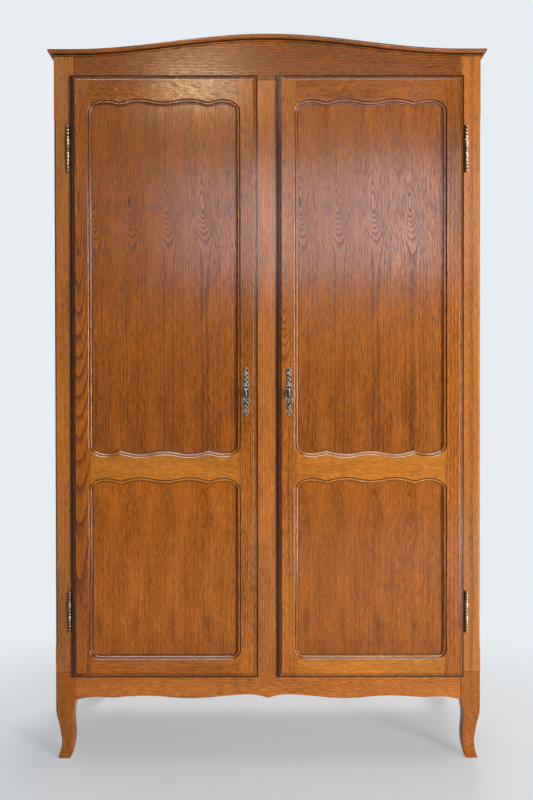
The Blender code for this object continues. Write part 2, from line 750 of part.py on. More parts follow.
def build_door(label, side):
    blank_depth = (DOOR_FACE - MARGIN, DOOR_BACK + MARGIN)
    tenon_depth = (DOOR_FACE + DOOR_THICKNESS / 3, DOOR_BACK - DOOR_THICKNESS / 3)
    stile_width = STILE_FACE + MOULDING_WIDTH
    shoulder = STILE_FACE + SHOULDER_INSET
    whole_height = (DOOR_BOTTOM - MARGIN, DOOR_TOP + MARGIN)
    stiles = {
        "hinge": mirrored(side, DOOR_HINGE_EDGE - stile_width, DOOR_HINGE_EDGE + MARGIN),
        "meeting": mirrored(side, DOOR_MEETING_EDGE - MARGIN, DOOR_MEETING_EDGE + stile_width),
    }
    frame = []
    for name, across in stiles.items():
        spans = [across, blank_depth, whole_height]
        frame.append(cuboid(f"{label}_door_{name}_stile", spans, "lacquered_oak"))
    hinge_stile, meeting_stile = frame
    across = mirrored(side, DOOR_MEETING_EDGE + shoulder, DOOR_HINGE_EDGE - shoulder)
    for name, (low, high) in door_rails().items():
        blank = [across, blank_depth, (low - (name == "bottom") * MARGIN, high + (name == "top") * MARGIN)]
        rail = cuboid(f"{label}_door_{name}_rail", blank, "lacquered_oak")
        reach = [(across[0] - RAIL_TENON_LENGTH, across[1] + RAIL_TENON_LENGTH), tenon_depth,
                 (low + RAIL_TENON_INSET, high - RAIL_TENON_INSET)]
        unite(rail, cuboid(rail.name + "_tenons", reach))
        notch = cuboid(rail.name + "_notch", grown(blank, FIT))
        mortise = cuboid(rail.name + "_mortises", grown(reach, FIT))
        for stile in (hinge_stile, meeting_stile):
            cut(stile, notch)
            cut(stile, mortise)
        frame.append(rail)
    envelope = door_envelope(f"{label}_door_envelope", side)
    for piece in frame:
        combine(piece, envelope, "INTERSECT")
    openings = {
        "upper": (*UPPER_OPENING, scallop()),
        "lower": (*LOWER_OPENING, plain_edge()),
    }
    for name, (bottom, top, lower_edge) in openings.items():
        outline = opening_outline(bottom, top, lower_edge, scallop())
        cutter = opening_cutter(f"{label}_door_{name}_opening", side, outline)
        inner = MOULDING_WIDTH - PANEL_TONGUE
        half = OPENING_HALF - inner
        spans = [(side * DOOR_MIDDLE - half, side * DOOR_MIDDLE + half),
                 (DOOR_FACE + PANEL_DEPTH, DOOR_FACE + PANEL_DEPTH + PANEL_THICKNESS),
                 (bottom + inner, top - inner)]
        panel = cuboid(f"{label}_door_{name}_panel", spans, "oak_veneer")
        groove = cuboid(panel.name + "_groove", grown(spans, FIT))
        for piece in frame:
            cut(piece, cutter)
            cut(piece, groove)


# Hinges

def finial(half_length, start):
    """Beads that shrink towards the tip, from the tip down to the olive: (radius, height)."""
    pitch = (half_length - start) / HINGE_BEADS
    points = [(0.0, half_length)]
    for i in range(HINGE_BEADS):
        radius = HINGE_TIP_RADIUS + (HINGE_OLIVE_RADIUS - HINGE_TIP_RADIUS) * i / (HINGE_BEADS + 1)
        points.append((radius, half_length - (i + 0.5) * pitch))
        points.append((radius * 0.62, half_length - (i + 1) * pitch))
    return points


def olive(start):
    """Swelling that the leaf grows from, top to bottom."""
    return [(HINGE_OLIVE_RADIUS * 0.9, start + HINGE_OLIVE_LENGTH * 0.85),
            (HINGE_OLIVE_RADIUS, start + HINGE_OLIVE_LENGTH * 0.5),
            (HINGE_OLIVE_RADIUS * 0.9, start + HINGE_OLIVE_LENGTH * 0.15)]


def hinge_half_profile(half_length):
    """One half of a hinge above the joint, top to bottom."""
    top = HINGE_NECK_LENGTH + HINGE_OLIVE_LENGTH
    return finial(half_length, top) + olive(HINGE_NECK_LENGTH) + [(HINGE_NECK_RADIUS, HINGE_NECK_LENGTH),
                                                                  (HINGE_NECK_RADIUS, FIT / 2)]


def build_hinge(label, side, level, joint, length):
    """Lift-off hinge: the post half holds the pin, the door half drops over it."""
    location = (side * HINGE_AXIS, HINGE_AXIS_Y, joint)
    half = hinge_half_profile(length / 2)
    bore = HINGE_PIN_RADIUS + HINGE_BORE_CLEARANCE
    bore_top = HINGE_PIN_LENGTH + FIT
    door_profile = half + [(bore, FIT / 2), (bore, bore_top), (0.0, bore_top)]
    post_profile = [(0.0, HINGE_PIN_LENGTH), (HINGE_PIN_RADIUS, HINGE_PIN_LENGTH),
                    (HINGE_PIN_RADIUS, -FIT / 2)]
    post_profile += [(radius, -height) for radius, height in reversed(half)]
    door_half = turned(f"{label}_{level}_hinge_door_half", door_profile, location, "aged_brass")
    post_half = turned(f"{label}_{level}_hinge_post_half", post_profile, location, "aged_brass")
    root = (bore + HINGE_OLIVE_RADIUS) / 2
    leaf_z = HINGE_NECK_LENGTH + HINGE_OLIVE_LENGTH / 2
    thin = HINGE_LEAF_THICKNESS / 2
    door_leaf = [mirrored(side, HINGE_AXIS - root, DOOR_HINGE_EDGE - HINGE_LEAF_REACH),
                 (HINGE_AXIS_Y - thin, HINGE_AXIS_Y + thin),
                 (joint + leaf_z - HINGE_LEAF_HEIGHT / 2, joint + leaf_z + HINGE_LEAF_HEIGHT / 2)]
    post_leaf = [mirrored(side, HINGE_AXIS - thin, HINGE_AXIS + thin),
                 (HINGE_AXIS_Y + root, FRONT + HINGE_LEAF_REACH),
                 (joint - leaf_z - HINGE_LEAF_HEIGHT / 2, joint - leaf_z + HINGE_LEAF_HEIGHT / 2)]
    for half_hinge, leaf, host in ((door_half, door_leaf, f"{label}_door_hinge_stile"),
                                   (post_half, post_leaf, f"{label}_front_post")):
        unite(half_hinge, cuboid(half_hinge.name + "_leaf", leaf))
        cut(parts[host], cuboid(half_hinge.name + "_mortise", grown(leaf, FIT)))


def build_hinges():
    for label, side in SIDES.items():
        build_hinge(label, side, "upper", DOOR_TOP - UPPER_HINGE_DROP, UPPER_HINGE_LENGTH)
        build_hinge(label, side, "lower", DOOR_BOTTOM + LOWER_HINGE_RISE, LOWER_HINGE_LENGTH)


# Locks

# Cast outline of the escutcheon, from its tip down: height over the key, half width
ESCUTCHEON_EDGE = [
    (0.0735, 0.0010),
    (0.0700, 0.0028),
    (0.0645, 0.0068),
    (0.0520, 0.0064),
    (0.0437, 0.0048),
    (0.0328, 0.0080),
    (0.0156, 0.0082),
    (-0.0030, 0.0086),
    (-0.0186, 0.0088),
    (-0.0270, 0.0074),
    (-0.0355, 0.0040),
    (-0.0454, 0.0066),
    (-0.0538, 0.0062),
    (-0.0610, 0.0012),
]


def cut_keyhole(solid, side, depth_span):
    """Round hole with a slot below it for the bit."""
    x = side * KEY_AXIS
    hole = rod(f"{solid.name}_keyhole", (x, depth_span[0], LOCK_HEIGHT), (x, depth_span[1], LOCK_HEIGHT),
               KEY_SHANK_RADIUS + KEYHOLE_CLEARANCE, 16)
    half_slot = KEY_BIT_THICKNESS / 2 + KEYHOLE_CLEARANCE
    slot = cuboid(f"{solid.name}_keyhole_slot",
                  [(x - half_slot, x + half_slot), depth_span,
                   (LOCK_HEIGHT - KEY_BIT_REACH - KEYHOLE_CLEARANCE, LOCK_HEIGHT)])
    cut(solid, hole)
    cut(solid, slot)


def build_key(label, side):
    """Key with a ring bow, its bit standing below the shank inside the lock."""
    x = side * KEY_AXIS
    bow_y = DOOR_FACE - KEY_REACH + KEY_BOW_LENGTH / 2
    shank_start = bow_y + KEY_BOW_LENGTH / 2 - KEY_BOW_WIRE
    key = rod(f"{label}_key", (x, shank_start, LOCK_HEIGHT), (x, CASE_BACK - CASE_WALL - FIT, LOCK_HEIGHT),
              KEY_SHANK_RADIUS, 16, "antique_pewter")
    bpy.ops.mesh.primitive_torus_add(major_radius=KEY_BOW_HEIGHT / 2 - KEY_BOW_WIRE,
                                     minor_radius=KEY_BOW_WIRE, major_segments=20, minor_segments=8)
    bow = bpy.context.object
    bow.name = f"{label}_key_bow"
    stand_up = Matrix.Rotation(math.pi / 2, 4, "Y")
    squash = Matrix.Diagonal((1.0, KEY_BOW_LENGTH / KEY_BOW_HEIGHT, 1.0, 1.0))
    bow.data.transform(squash @ stand_up)
    bow.location = (x, bow_y, LOCK_HEIGHT)
    for holder in list(bow.users_collection):
        holder.objects.unlink(bow)
    register(bow, None)
    bit = cuboid(f"{label}_key_bit", [(x - KEY_BIT_THICKNESS / 2, x + KEY_BIT_THICKNESS / 2),
                                      (BOLT_FRONT, BOLT_FRONT + BOLT_THICKNESS),
                                      (LOCK_HEIGHT - KEY_BIT_REACH, LOCK_HEIGHT)])
    unite(key, bow)
    unite(key, bit)


def build_lock(label, side):
    x = side * KEY_AXIS
    outline = [(x + half, LOCK_HEIGHT + height) for height, half in ESCUTCHEON_EDGE]
    outline += [(x - half, LOCK_HEIGHT + height) for height, half in reversed(ESCUTCHEON_EDGE)]
    plate_depth = (DOOR_FACE - FIT - ESCUTCHEON_THICKNESS, DOOR_FACE - FIT)
    plate = outline_board(f"{label}_escutcheon", outline, plate_depth, "antique_pewter")
    cut_keyhole(plate, side, (plate_depth[0] - MARGIN, plate_depth[1] + MARGIN))
    cut_keyhole(parts[f"{label}_door_meeting_stile"], side, (DOOR_FACE - MARGIN, DOOR_BACK + MARGIN))
    case_spans = [mirrored(side, CASE_EDGE, CASE_EDGE + CASE_WIDTH), (CASE_FRONT, CASE_BACK),
                  (LOCK_HEIGHT - KEY_BIT_REACH - CASE_MARGIN, BOLT_BOTTOM + BOLT_HEIGHT + CASE_MARGIN)]
    case = cuboid(f"{label}_lock_case", case_spans, "lock_steel")
    cut(case, cuboid(f"{label}_lock_case_hollow", grown(case_spans, -CASE_WALL)))
    cut_keyhole(case, side, (CASE_FRONT - MARGIN, CASE_FRONT + CASE_WALL + FIT))
    bolt_spans = [mirrored(side, CASE_EDGE, CASE_EDGE + BOLT_LENGTH),
                  (BOLT_FRONT, BOLT_FRONT + BOLT_THICKNESS), (BOLT_BOTTOM, BOLT_BOTTOM + BOLT_HEIGHT)]
    cuboid(f"{label}_lock_bolt", bolt_spans, "lock_steel")
    slot = grown(bolt_spans, FIT)
    slot[0] = mirrored(side, CASE_EDGE - MARGIN, CASE_EDGE + CASE_WALL + FIT)
    cut(case, cuboid(f"{label}_lock_case_slot", slot))
    build_key(label, side)


# Parenting

def hang(piece, carrier):
    """Let a piece follow its carrier from where it stands."""
    piece.parent = carrier
    piece.matrix_parent_inverse = carrier.matrix_world.inverted()


def hang_doors():
    """Hang each door's pieces, with what shapes them, on an empty on its hinge axis."""
    for label, side in SIDES.items():
        axis = bpy.data.objects.new(f"{label}_door_axis", None)
        axis.empty_display_size = 0.1
        axis.location = (side * HINGE_AXIS, HINGE_AXIS_Y, DOOR_BOTTOM)
        wardrobe.objects.link(axis)
        bpy.context.view_layer.update()
        swinging = (f"{label}_door_", f"{label}_escutcheon", f"{label}_key", f"{label}_lock_",
                    f"{label}_upper_hinge_door", f"{label}_lower_hinge_door")
        key = parts[f"{label}_key"]
        for piece in [*wardrobe.objects, *cutters.objects]:
            if piece.name in (f"{label}_key_bow", f"{label}_key_bit"):
                hang(piece, key)
            elif piece != axis and piece.name.startswith(swinging):
                hang(piece, axis)


def shade_round_pieces():
    for name in ("hanging_rail", "left_key", "right_key", "front_cornice", "left_cornice", "right_cornice"):
        mesh = parts[name].data
        mesh.shade_smooth()
        mesh.set_sharp_from_angle(angle=math.radians(35))


clear_scene()
wardrobe = new_collection("two_door_wardrobe")
cutters = new_collection("cutters")
finishes = {name: make_finish(name) for name in FINISHES}

build_posts()
build_legs()
build_apron()
build_frieze()
join_posts()
build_side_rails()
build_panels()
build_decks()
build_centre_stile()
build_cornice()
build_inside()
for door_label, door_side in SIDES.items():
    build_door(door_label, door_side)
    build_lock(door_label, door_side)
build_hinges()
hang_doors()
shade_round_pieces()
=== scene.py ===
"""Looks of a two-door oak wardrobe in the French provincial style, built round its CAD frame.

Metres, +Z up, front facing -Y, in the solids' own frame. The left half is modelled first, and what the
right half repeats is a mirrored copy.
"""
import json
import math

import bpy
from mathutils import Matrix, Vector

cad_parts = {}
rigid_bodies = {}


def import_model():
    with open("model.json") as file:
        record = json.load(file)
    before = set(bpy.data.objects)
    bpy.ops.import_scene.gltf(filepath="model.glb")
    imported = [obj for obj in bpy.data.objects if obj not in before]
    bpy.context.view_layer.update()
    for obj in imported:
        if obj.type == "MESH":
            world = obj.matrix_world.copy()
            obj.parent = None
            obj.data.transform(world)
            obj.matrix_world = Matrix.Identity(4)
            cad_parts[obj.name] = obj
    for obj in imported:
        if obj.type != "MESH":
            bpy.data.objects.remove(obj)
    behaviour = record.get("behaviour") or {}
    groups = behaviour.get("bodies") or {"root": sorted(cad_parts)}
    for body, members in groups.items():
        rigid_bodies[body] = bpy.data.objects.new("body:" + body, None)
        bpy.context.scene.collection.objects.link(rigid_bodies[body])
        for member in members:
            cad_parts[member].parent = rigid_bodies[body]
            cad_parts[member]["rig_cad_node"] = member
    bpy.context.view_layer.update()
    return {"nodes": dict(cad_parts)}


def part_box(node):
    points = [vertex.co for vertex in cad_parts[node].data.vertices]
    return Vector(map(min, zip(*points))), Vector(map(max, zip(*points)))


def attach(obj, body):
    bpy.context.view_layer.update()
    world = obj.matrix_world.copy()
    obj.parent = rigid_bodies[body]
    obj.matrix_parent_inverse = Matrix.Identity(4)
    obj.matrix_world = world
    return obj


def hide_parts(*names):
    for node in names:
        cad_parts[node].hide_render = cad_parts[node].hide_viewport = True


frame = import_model()

# Clearance between pieces, room that cutting tools get, and tolerances
FIT = 0.0003
MARGIN = 0.005
NEAR = 1e-5
TINY = 1e-6
# Degrees up to which faces count as one flat face, and up to which arrises are shaded smooth
FLAT_ANGLE = 0.5
SMOOTH_ANGLE = 32
# Steps in one run of a curve, and in half the arch
CURVE_STEPS = 10
ARCH_STEPS = 32

# Planes that the frame gives
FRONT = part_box("centre_stile")[0].y
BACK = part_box("left_rear_post")[1].y
POST_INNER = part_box("right_front_post")[0].x
HALF_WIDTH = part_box("right_front_post")[1].x
POST_SIZE = HALF_WIDTH - POST_INNER
BASE_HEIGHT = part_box("left_front_leg")[1].z
CROWN_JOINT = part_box("frieze_board")[0].z
CROWN_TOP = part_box("left_frieze_block")[1].z
ARCH_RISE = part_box("frieze_board")[1].z - CROWN_TOP
BOARD_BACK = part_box("frieze_board")[1].y
DOOR_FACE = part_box("left_door_hinge_stile")[0].y
DOOR_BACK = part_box("left_door_hinge_stile")[1].y
DOOR_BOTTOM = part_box("left_door_hinge_stile")[0].z
DOOR_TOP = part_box("left_door_hinge_stile")[1].z
HINGE_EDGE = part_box("left_door_hinge_stile")[0].x
MEETING_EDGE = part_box("left_door_meeting_stile")[1].x
DOOR_MIDDLE = (HINGE_EDGE + MEETING_EDGE) / 2

# Doors
STILE_FACE = 0.047
SHOULDER = 0.054
TOP_RAIL_FACE = 0.064
UPPER_OPENING_FOOT = 0.6045
LOWER_OPENING_HEAD = 0.553
BOTTOM_RAIL_FACE = 0.050
CORNER_RADIUS = 0.030
RAIL_HORN = 0.002
LIP_THICKNESS = 0.010
LIP_FLAT = 0.0015
LIP_WIDTH = 0.0135
REBATE = 0.010
TOP_REBATE = 0.0145
BOTTOM_REBATE = 0.0165
MOULDING_WIDTH = 0.013
MOULDING_DEPTH = 0.0056
OPENING_HALF = (MEETING_EDGE - HINGE_EDGE) / 2 - STILE_FACE
LOWER_OPENING = (DOOR_BOTTOM + BOTTOM_RAIL_FACE, DOOR_BOTTOM + LOWER_OPENING_HEAD)
UPPER_OPENING = (DOOR_BOTTOM + UPPER_OPENING_FOOT, DOOR_TOP - TOP_RAIL_FACE)

# Crown and base
CORNICE_HEIGHT = 0.018
CORNICE_REACH = 0.014
CORNICE_NOSE = 0.0075
LEG_BLOCK = 0.073
APRON_HEIGHT = 0.074

# Hinges: each with the height of its joint, and its length
BARREL_OUT = 0.007
BARREL_FORWARD = 0.0055
HINGE_AXIS = HINGE_EDGE - BARREL_OUT
HINGE_AXIS_Y = FRONT - BARREL_FORWARD
HINGES = {"upper": (DOOR_TOP - 0.2005, 0.130), "lower": (DOOR_BOTTOM + 0.180, 0.116)}
BARREL_REACH = 0.0046
PIN_RADIUS = 0.0017
PIN_LENGTH = 0.022
PIN_CHAMFER = 0.0003
BORE_RADIUS = 0.002
BORE_LENGTH = 0.0223
HINGE_LEAF_THICKNESS = 0.0018
HINGE_LEAF_HEIGHT = 0.016
HINGE_LEAF_LEVEL = 0.018
HINGE_LEAF_START = 0.0035
HINGE_LEAF_END = 0.025
POCKET_OUTSIDE = 0.0040
POCKET_UNDER_DOOR = 0.0030
POCKET_DEPTH = 0.012

# Locks
BACKSET = 0.0327
KEY_X = MEETING_EDGE - BACKSET
KEY_Z = 1.008
SHANK_RADIUS = 0.003
KEYHOLE_PLAY = 0.0005
KEYHOLE_SLOT_HALF = 0.00175
KEYHOLE_SLOT_DROP = 0.0115
PLATE_THICKNESS = 0.0016
RELIEF_HEIGHT = 0.0030
CAST_LEAF_BED = 0.0024
CAST_LEAF_TURN = 0.75
PIN_HEAD_RADIUS = 0.0017
SCREW_INSET = 0.005


# Ways of working

def select_only(piece):
    bpy.ops.object.select_all(action="DESELECT")
    piece.select_set(True)
    bpy.context.view_layer.objects.active = piece


def take_over(name, piece=None):
    """Name a piece, or the primitive that was just added, and put its place into its mesh."""
    piece = piece or bpy.context.object
    piece.name = name
    piece.data.name = name
    select_only(piece)
    bpy.ops.object.transform_apply(location=True, rotation=True, scale=True)
    return piece


def block(name, low, high):
    low, high = Vector(low), Vector(high)
    bpy.ops.object.select_all(action="DESELECT")
    bpy.ops.mesh.primitive_cube_add(size=1.0, location=(low + high) / 2, scale=high - low)
    return take_over(name)


def sheet(name, points):
    """One flat face through points, from a filled circle whose corners are moved there."""
    bpy.ops.object.select_all(action="DESELECT")
    bpy.ops.mesh.primitive_circle_add(vertices=len(points), radius=1.0, fill_type="NGON")
    piece = take_over(name)
    for vertex, point in zip(piece.data.vertices, points):
        vertex.co = point
    piece.data.update()
    return piece


def edit_faces(piece, wanted):
    """Go into edit mode with just the wanted faces selected."""
    select_only(piece)
    bpy.ops.object.mode_set(mode="EDIT")
    bpy.ops.mesh.select_mode(type="FACE")
    bpy.ops.mesh.select_all(action="DESELECT")
    bpy.ops.object.mode_set(mode="OBJECT")
    for face in piece.data.polygons:
        face.select = bool(wanted(face))
    bpy.ops.object.mode_set(mode="EDIT")


def draw_out(x=0.0, y=0.0, z=0.0):
    bpy.ops.mesh.extrude_region_move(TRANSFORM_OT_translate={"value": (x, y, z)})


def close_edit():
    """Turn all faces outwards and leave edit mode."""
    bpy.ops.mesh.select_all(action="SELECT")
    bpy.ops.mesh.normals_make_consistent(inside=False)
    bpy.ops.object.mode_set(mode="OBJECT")


def thick_sheet(name, points, thickness):
    """Board sawn to an outline, its face at the front."""
    piece = sheet(name, points)
    edit_faces(piece, lambda face: True)
    draw_out(y=thickness)
    close_edit()
    return piece


def lathe(name, profile, x, y, z, steps=28):
    """Turned piece: a point is drawn out along a (radius, height) profile and spun about the vertical."""
    bpy.ops.object.select_all(action="DESELECT")
    bpy.ops.mesh.primitive_plane_add(size=0.001)
    piece = take_over(name)
    bpy.ops.object.mode_set(mode="EDIT")
    bpy.ops.mesh.select_mode(type="VERT")
    bpy.ops.mesh.select_all(action="SELECT")
    bpy.ops.mesh.merge(type="CENTER")
    bpy.ops.transform.translate(value=(x + profile[0][0], y, z + profile[0][1]))
    for before, after in zip(profile, profile[1:]):
        step = (after[0] - before[0], 0.0, after[1] - before[1])
        bpy.ops.mesh.extrude_vertices_move(TRANSFORM_OT_translate={"value": step})
    bpy.ops.mesh.select_all(action="SELECT")
    bpy.ops.mesh.spin(steps=steps, angle=2 * math.pi, center=(x, y, z), axis=(0.0, 0.0, 1.0))
    bpy.ops.mesh.select_all(action="SELECT")
    bpy.ops.mesh.remove_doubles(threshold=TINY)
    close_edit()
    return piece


def carve(piece, tool, operation="DIFFERENCE", keep=False):
    """Cut a tool out of a piece, join the two or keep what they share; the tool then goes, unless it is kept."""
    select_only(piece)
    modifier = piece.modifiers.new("carve", "BOOLEAN")
    modifier.operation = operation
    modifier.solver = "EXACT"
    modifier.object = tool
    bpy.ops.object.modifier_apply(modifier=modifier.name)
    if not keep:
        bpy.data.objects.remove(tool, do_unlink=True)


def ease(piece, width, segments=2, angle=40):
    """Take the sharpness off the arrises, as sandpaper does."""
    select_only(piece)
    modifier = piece.modifiers.new("ease", "BEVEL")
    modifier.width = width
    modifier.segments = segments
    modifier.limit_method = "ANGLE"
    modifier.angle_limit = math.radians(angle)
    modifier.use_clamp_overlap = False
    bpy.ops.object.modifier_apply(modifier=modifier.name)


def eased_copy(node, width=0.00015):
    """A board of the frame with its arrises eased, joints and grooves included."""
    select_only(frame["nodes"][node])
    bpy.ops.object.duplicate()
    piece = bpy.context.object
    piece.name = node + "_eased"
    piece.data.name = piece.name
    del piece["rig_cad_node"]
    bpy.ops.object.mode_set(mode="EDIT")
    bpy.ops.mesh.select_all(action="SELECT")
    bpy.ops.mesh.remove_doubles(threshold=NEAR)
    bpy.ops.mesh.dissolve_limited(angle_limit=math.radians(FLAT_ANGLE))
    close_edit()
    ease(piece, width)
    return piece


def mirrored(piece, name):
    """Copy for the right half."""
    select_only(piece)
    bpy.ops.object.duplicate()
    copy = bpy.context.object
    copy.name = name
    copy.data.name = name
    bpy.ops.object.mode_set(mode="EDIT")
    bpy.ops.mesh.select_all(action="SELECT")
    bpy.ops.transform.resize(value=(-1.0, 1.0, 1.0), center_override=(0.0, 0.0, 0.0))
    close_edit()
    return copy


def join(piece, *others):
    select_only(piece)
    for other in others:
        other.select_set(True)
    bpy.ops.object.join()
    return piece


def fit(piece, body, finish, slot, *nodes):
    """Shade a finished piece, give it its material, and hang it on its body in the nodes' stead."""
    select_only(piece)
    bpy.ops.object.shade_smooth_by_angle(angle=math.radians(SMOOTH_ANGLE))
    modifier = piece.modifiers.new("flat faces stay flat", "WEIGHTED_NORMAL")
    modifier.weight = 100
    modifier.keep_sharp = True
    bpy.ops.object.modifier_apply(modifier=modifier.name)
    piece.data.materials.clear()
    piece.data.materials.append(finish)
    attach(piece, body)
    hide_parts(*nodes)


# Curves of this wardrobe

def straight(t):
    return t


def wave(t):
    """Starts and ends level."""
    return (1 - math.cos(math.pi * t)) / 2


def swell(t):
    """Ends level."""
    return math.sin(math.pi * t / 2)


def fall(t):
    """Starts level."""
    return 1 - math.cos(math.pi * t / 2)


def run(start, end, across, along):
    """Points after start up to end, eased separately across and along."""
    points = []
    for i in range(1, CURVE_STEPS + 1):
        t = i / CURVE_STEPS
        points.append((start[0] + (end[0] - start[0]) * across(t),
                       start[1] + (end[1] - start[1]) * along(t)))
    return points


def arch(x):
    """Rise of the crown over its ends."""
    if abs(x) >= POST_INNER:
        return 0.0
    return ARCH_RISE * (1 + math.cos(math.pi * x / POST_INNER)) / 2


def smooth_through(points, steps):
    """Points on a smooth curve through the given ones."""
    ends = [points[0], *points, points[-1]]
    out = []
    for p0, p1, p2, p3 in zip(ends, ends[1:], ends[2:], ends[3:]):
        for i in range(steps):
            t = i / steps
            out.append(tuple(b + 0.5 * t * (c - a + t * (2 * a - 5 * b + 4 * c - d + t * (3 * (b - c) + d - a)))
                             for a, b, c, d in zip(p0, p1, p2, p3)))
    out.append(tuple(points[-1]))
    return out


def scallop():
    """Half of a scalloped edge, from its middle: distance, and drop below the crest."""
    middle = (0.0, 0.0080)
    crest = (0.322 * OPENING_HALF, 0.0)
    cusp = (0.578 * OPENING_HALF, 0.0096)
    shoulder = (0.776 * OPENING_HALF, 0.002)
    corner = (OPENING_HALF, 0.0365)
    return [middle, *run(middle, crest, straight, wave), *run(crest, cusp, straight, fall),
            *run(cusp, shoulder, straight, swell), *run(shoulder, corner, swell, fall)]


def plain_edge():
    """Half of a straight edge with a rounded corner, given in the same way."""
    corner = (OPENING_HALF - CORNER_RADIUS, 0.0)
    return [(0.0, 0.0), corner] + run(corner, (OPENING_HALF, CORNER_RADIUS), swell, fall)


def drop_at_shoulder(edge):
    """Drop of an edge where the rail ends and the stile begins."""
    line = OPENING_HALF - (SHOULDER - STILE_FACE)
    for (x0, drop0), (x1, drop1) in zip(edge, edge[1:]):
        if x0 <= line <= x1:
            return drop0 + (drop1 - drop0) * (line - x0) / (x1 - x0)
    return edge[-1][1]


def opening_outline(opening, lower_edge, upper_edge):
    """Closed (x, z) outline, clockwise seen from the front."""
    bottom, top = opening
    right = [(x, top - drop) for x, drop in upper_edge]
    right += [(x, bottom + drop) for x, drop in reversed(lower_edge)]
    left = [(-x, z) for x, z in reversed(right[1:-1])]
    return [(DOOR_MIDDLE + x, z) for x, z in right + left]


# Materials

# Options of nodes that come back often
SMOOTH = {"interpolation_type": "SMOOTHSTEP"}
STRETCH = {"vector_type": "TEXTURE"}
COLOURS = {"data_type": "RGBA"}

# Turns that lay the texture's Z along the grain
GRAIN = {"Z": (0.0, 0.0, 0.0), "X": (0.0, -math.pi / 2, 0.0), "Y": (math.pi / 2, 0.0, 0.0)}

# Sizes of the marks in oak: across, behind and along the fibres.
# Real year rings are 2 to 3 mm and pores 0.3 mm by 4 mm; all are drawn coarser, to show here.
WANDER = (0.06, 0.06, 0.20)
STREAK = (0.005, 0.005, 0.17)
PORE = (0.0020, 0.0020, 0.024)
BROAD_TONE = (0.05, 0.05, 0.22)
DASH = (0.0015, 0.0015, 0.020)
RAY_FLECK = (0.0035, 0.0035, 0.022)
DEEPER_PER_METRE = 0.012
FLECK_GOLD = "#CE8332"
# brown of the painted shade in the door's hollows, on its lips and under the cornice's nose
PAINTED_SHADE_BROWN = "#1E0C03"

# Where painted shade sits, darker in the hollows: the front plane, how deep it is counted, and (place in that depth,
# share)
DOOR_PAINTED_SHADE = (DOOR_FACE, 0.010, (
    (0.025, 0.0), (0.06, 0.85), (0.175, 0.85), (0.19, 0.0), (0.235, 0.0), (0.255, 0.88), (0.47, 0.88),
    (0.53, 0.60), (0.60, 0.55), (0.88, 0.55), (0.96, 0.0)))
CORNICE_PAINTED_SHADE = (FRONT - FIT - CORNICE_REACH, 0.015, (
    (0.16, 0.0), (0.30, 0.45), (0.42, 0.85), (0.673, 0.85), (0.687, 0.15), (0.70, 0.15), (0.713, 0.85), (0.98, 0.85)))


def linear(code):
    """Linear colour of an sRGB hex code."""
    values = [int(code[i:i + 2], 16) / 255 for i in (1, 3, 5)]
    return (*[v / 12.92 if v <= 0.04045 else ((v + 0.055) / 1.055) ** 2.4 for v in values], 1.0)


def add(tree, kind, options=None, inputs=None, output=0):
    """Add a shader node with its options and inputs, each a value or another node's output, and give its output."""
    node = tree.nodes.new("ShaderNode" + kind)
    for name, value in (options or {}).items():
        setattr(node, name, value)
    for name, value in (inputs or {}).items():
        if isinstance(value, bpy.types.NodeSocket):
            tree.links.new(value, node.inputs[name])
        else:
            node.inputs[name].default_value = value
    return node.outputs[output]


def new_material(name):
    material = bpy.data.materials.new(name)
    material.use_nodes = True
    return material, material.node_tree, material.node_tree.nodes["Principled BSDF"]


def in_leaves(tree, place, width, start):
    """Fold a panel into veneer leaves: the same figure comes back beside itself, cut a little deeper from the log."""
    parts = add(tree, "SeparateXYZ", inputs={0: place}).node
    shifted = add(tree, "Math", {"operation": "SUBTRACT"}, {0: parts.outputs[0], 1: start})
    across = add(tree, "Math", {"operation": "FLOORED_MODULO"}, {0: shifted, 1: width})
    before = add(tree, "Math", {"operation": "SUBTRACT"}, {0: shifted, 1: across})
    deeper = add(tree, "Math", {"operation": "MULTIPLY_ADD"}, {0: before, 1: DEEPER_PER_METRE, 2: parts.outputs[1]})
    return add(tree, "CombineXYZ", inputs={0: across, 1: deeper, 2: parts.outputs[2]})


def marks(tree, place, size, detail, roughness=0.5, lean=0.0, output=0):
    """Irregular marks of a given size, which lie along the grain or lean across it."""
    drawn = add(tree, "Mapping", STRETCH, {"Vector": place, "Rotation": (0.0, lean, 0.0), "Scale": size})
    return add(tree, "TexNoise", inputs={"Vector": drawn, "Scale": 1.0, "Detail": detail, "Roughness": roughness},
               output=output)


def patch(tree, place, across, height, wide, tall, share):
    """Oval patch of the face, right through the board: share in its middle, and nothing at its edge."""
    oval = add(tree, "Mapping", STRETCH,
               {"Vector": place, "Location": (across, 0.0, height), "Scale": (wide, 1000.0, tall)})
    oval = add(tree, "VectorMath", {"operation": "LENGTH"}, {0: oval}, output="Value")
    return add(tree, "MapRange", SMOOTH, {0: oval, 3: share, 4: 0.0})


def year_rings(tree, place, heart, dive, lean, ring):
    """Distance from the log's heart in year rings; the heart dives behind the face, and leans as it does."""
    swing, height, length = dive
    parts = add(tree, "SeparateXYZ", inputs={0: place}).node
    climb = add(tree, "Math", {"operation": "SUBTRACT"}, {0: parts.outputs[2], 1: height})
    climb = add(tree, "Math", {"operation": "DIVIDE"}, {0: climb, 1: length})
    climb = add(tree, "Math", {"operation": "TANH"}, {0: climb})
    depth = add(tree, "Math", {"operation": "MULTIPLY_ADD"}, {0: climb, 1: swing, 2: parts.outputs[1]})
    side = add(tree, "Math", {"operation": "MULTIPLY_ADD"}, {0: climb, 1: lean, 2: parts.outputs[0]})
    plan = add(tree, "CombineXYZ", inputs={0: side, 1: depth, 2: 0.0})
    plan = add(tree, "Mapping", inputs={"Vector": plan, "Location": (-heart[0], -heart[1], 0.0)})
    rings = add(tree, "VectorMath", {"operation": "LENGTH"}, {0: plan}, output="Value")
    return add(tree, "Math", {"operation": "DIVIDE"}, {0: rings, 1: ring})


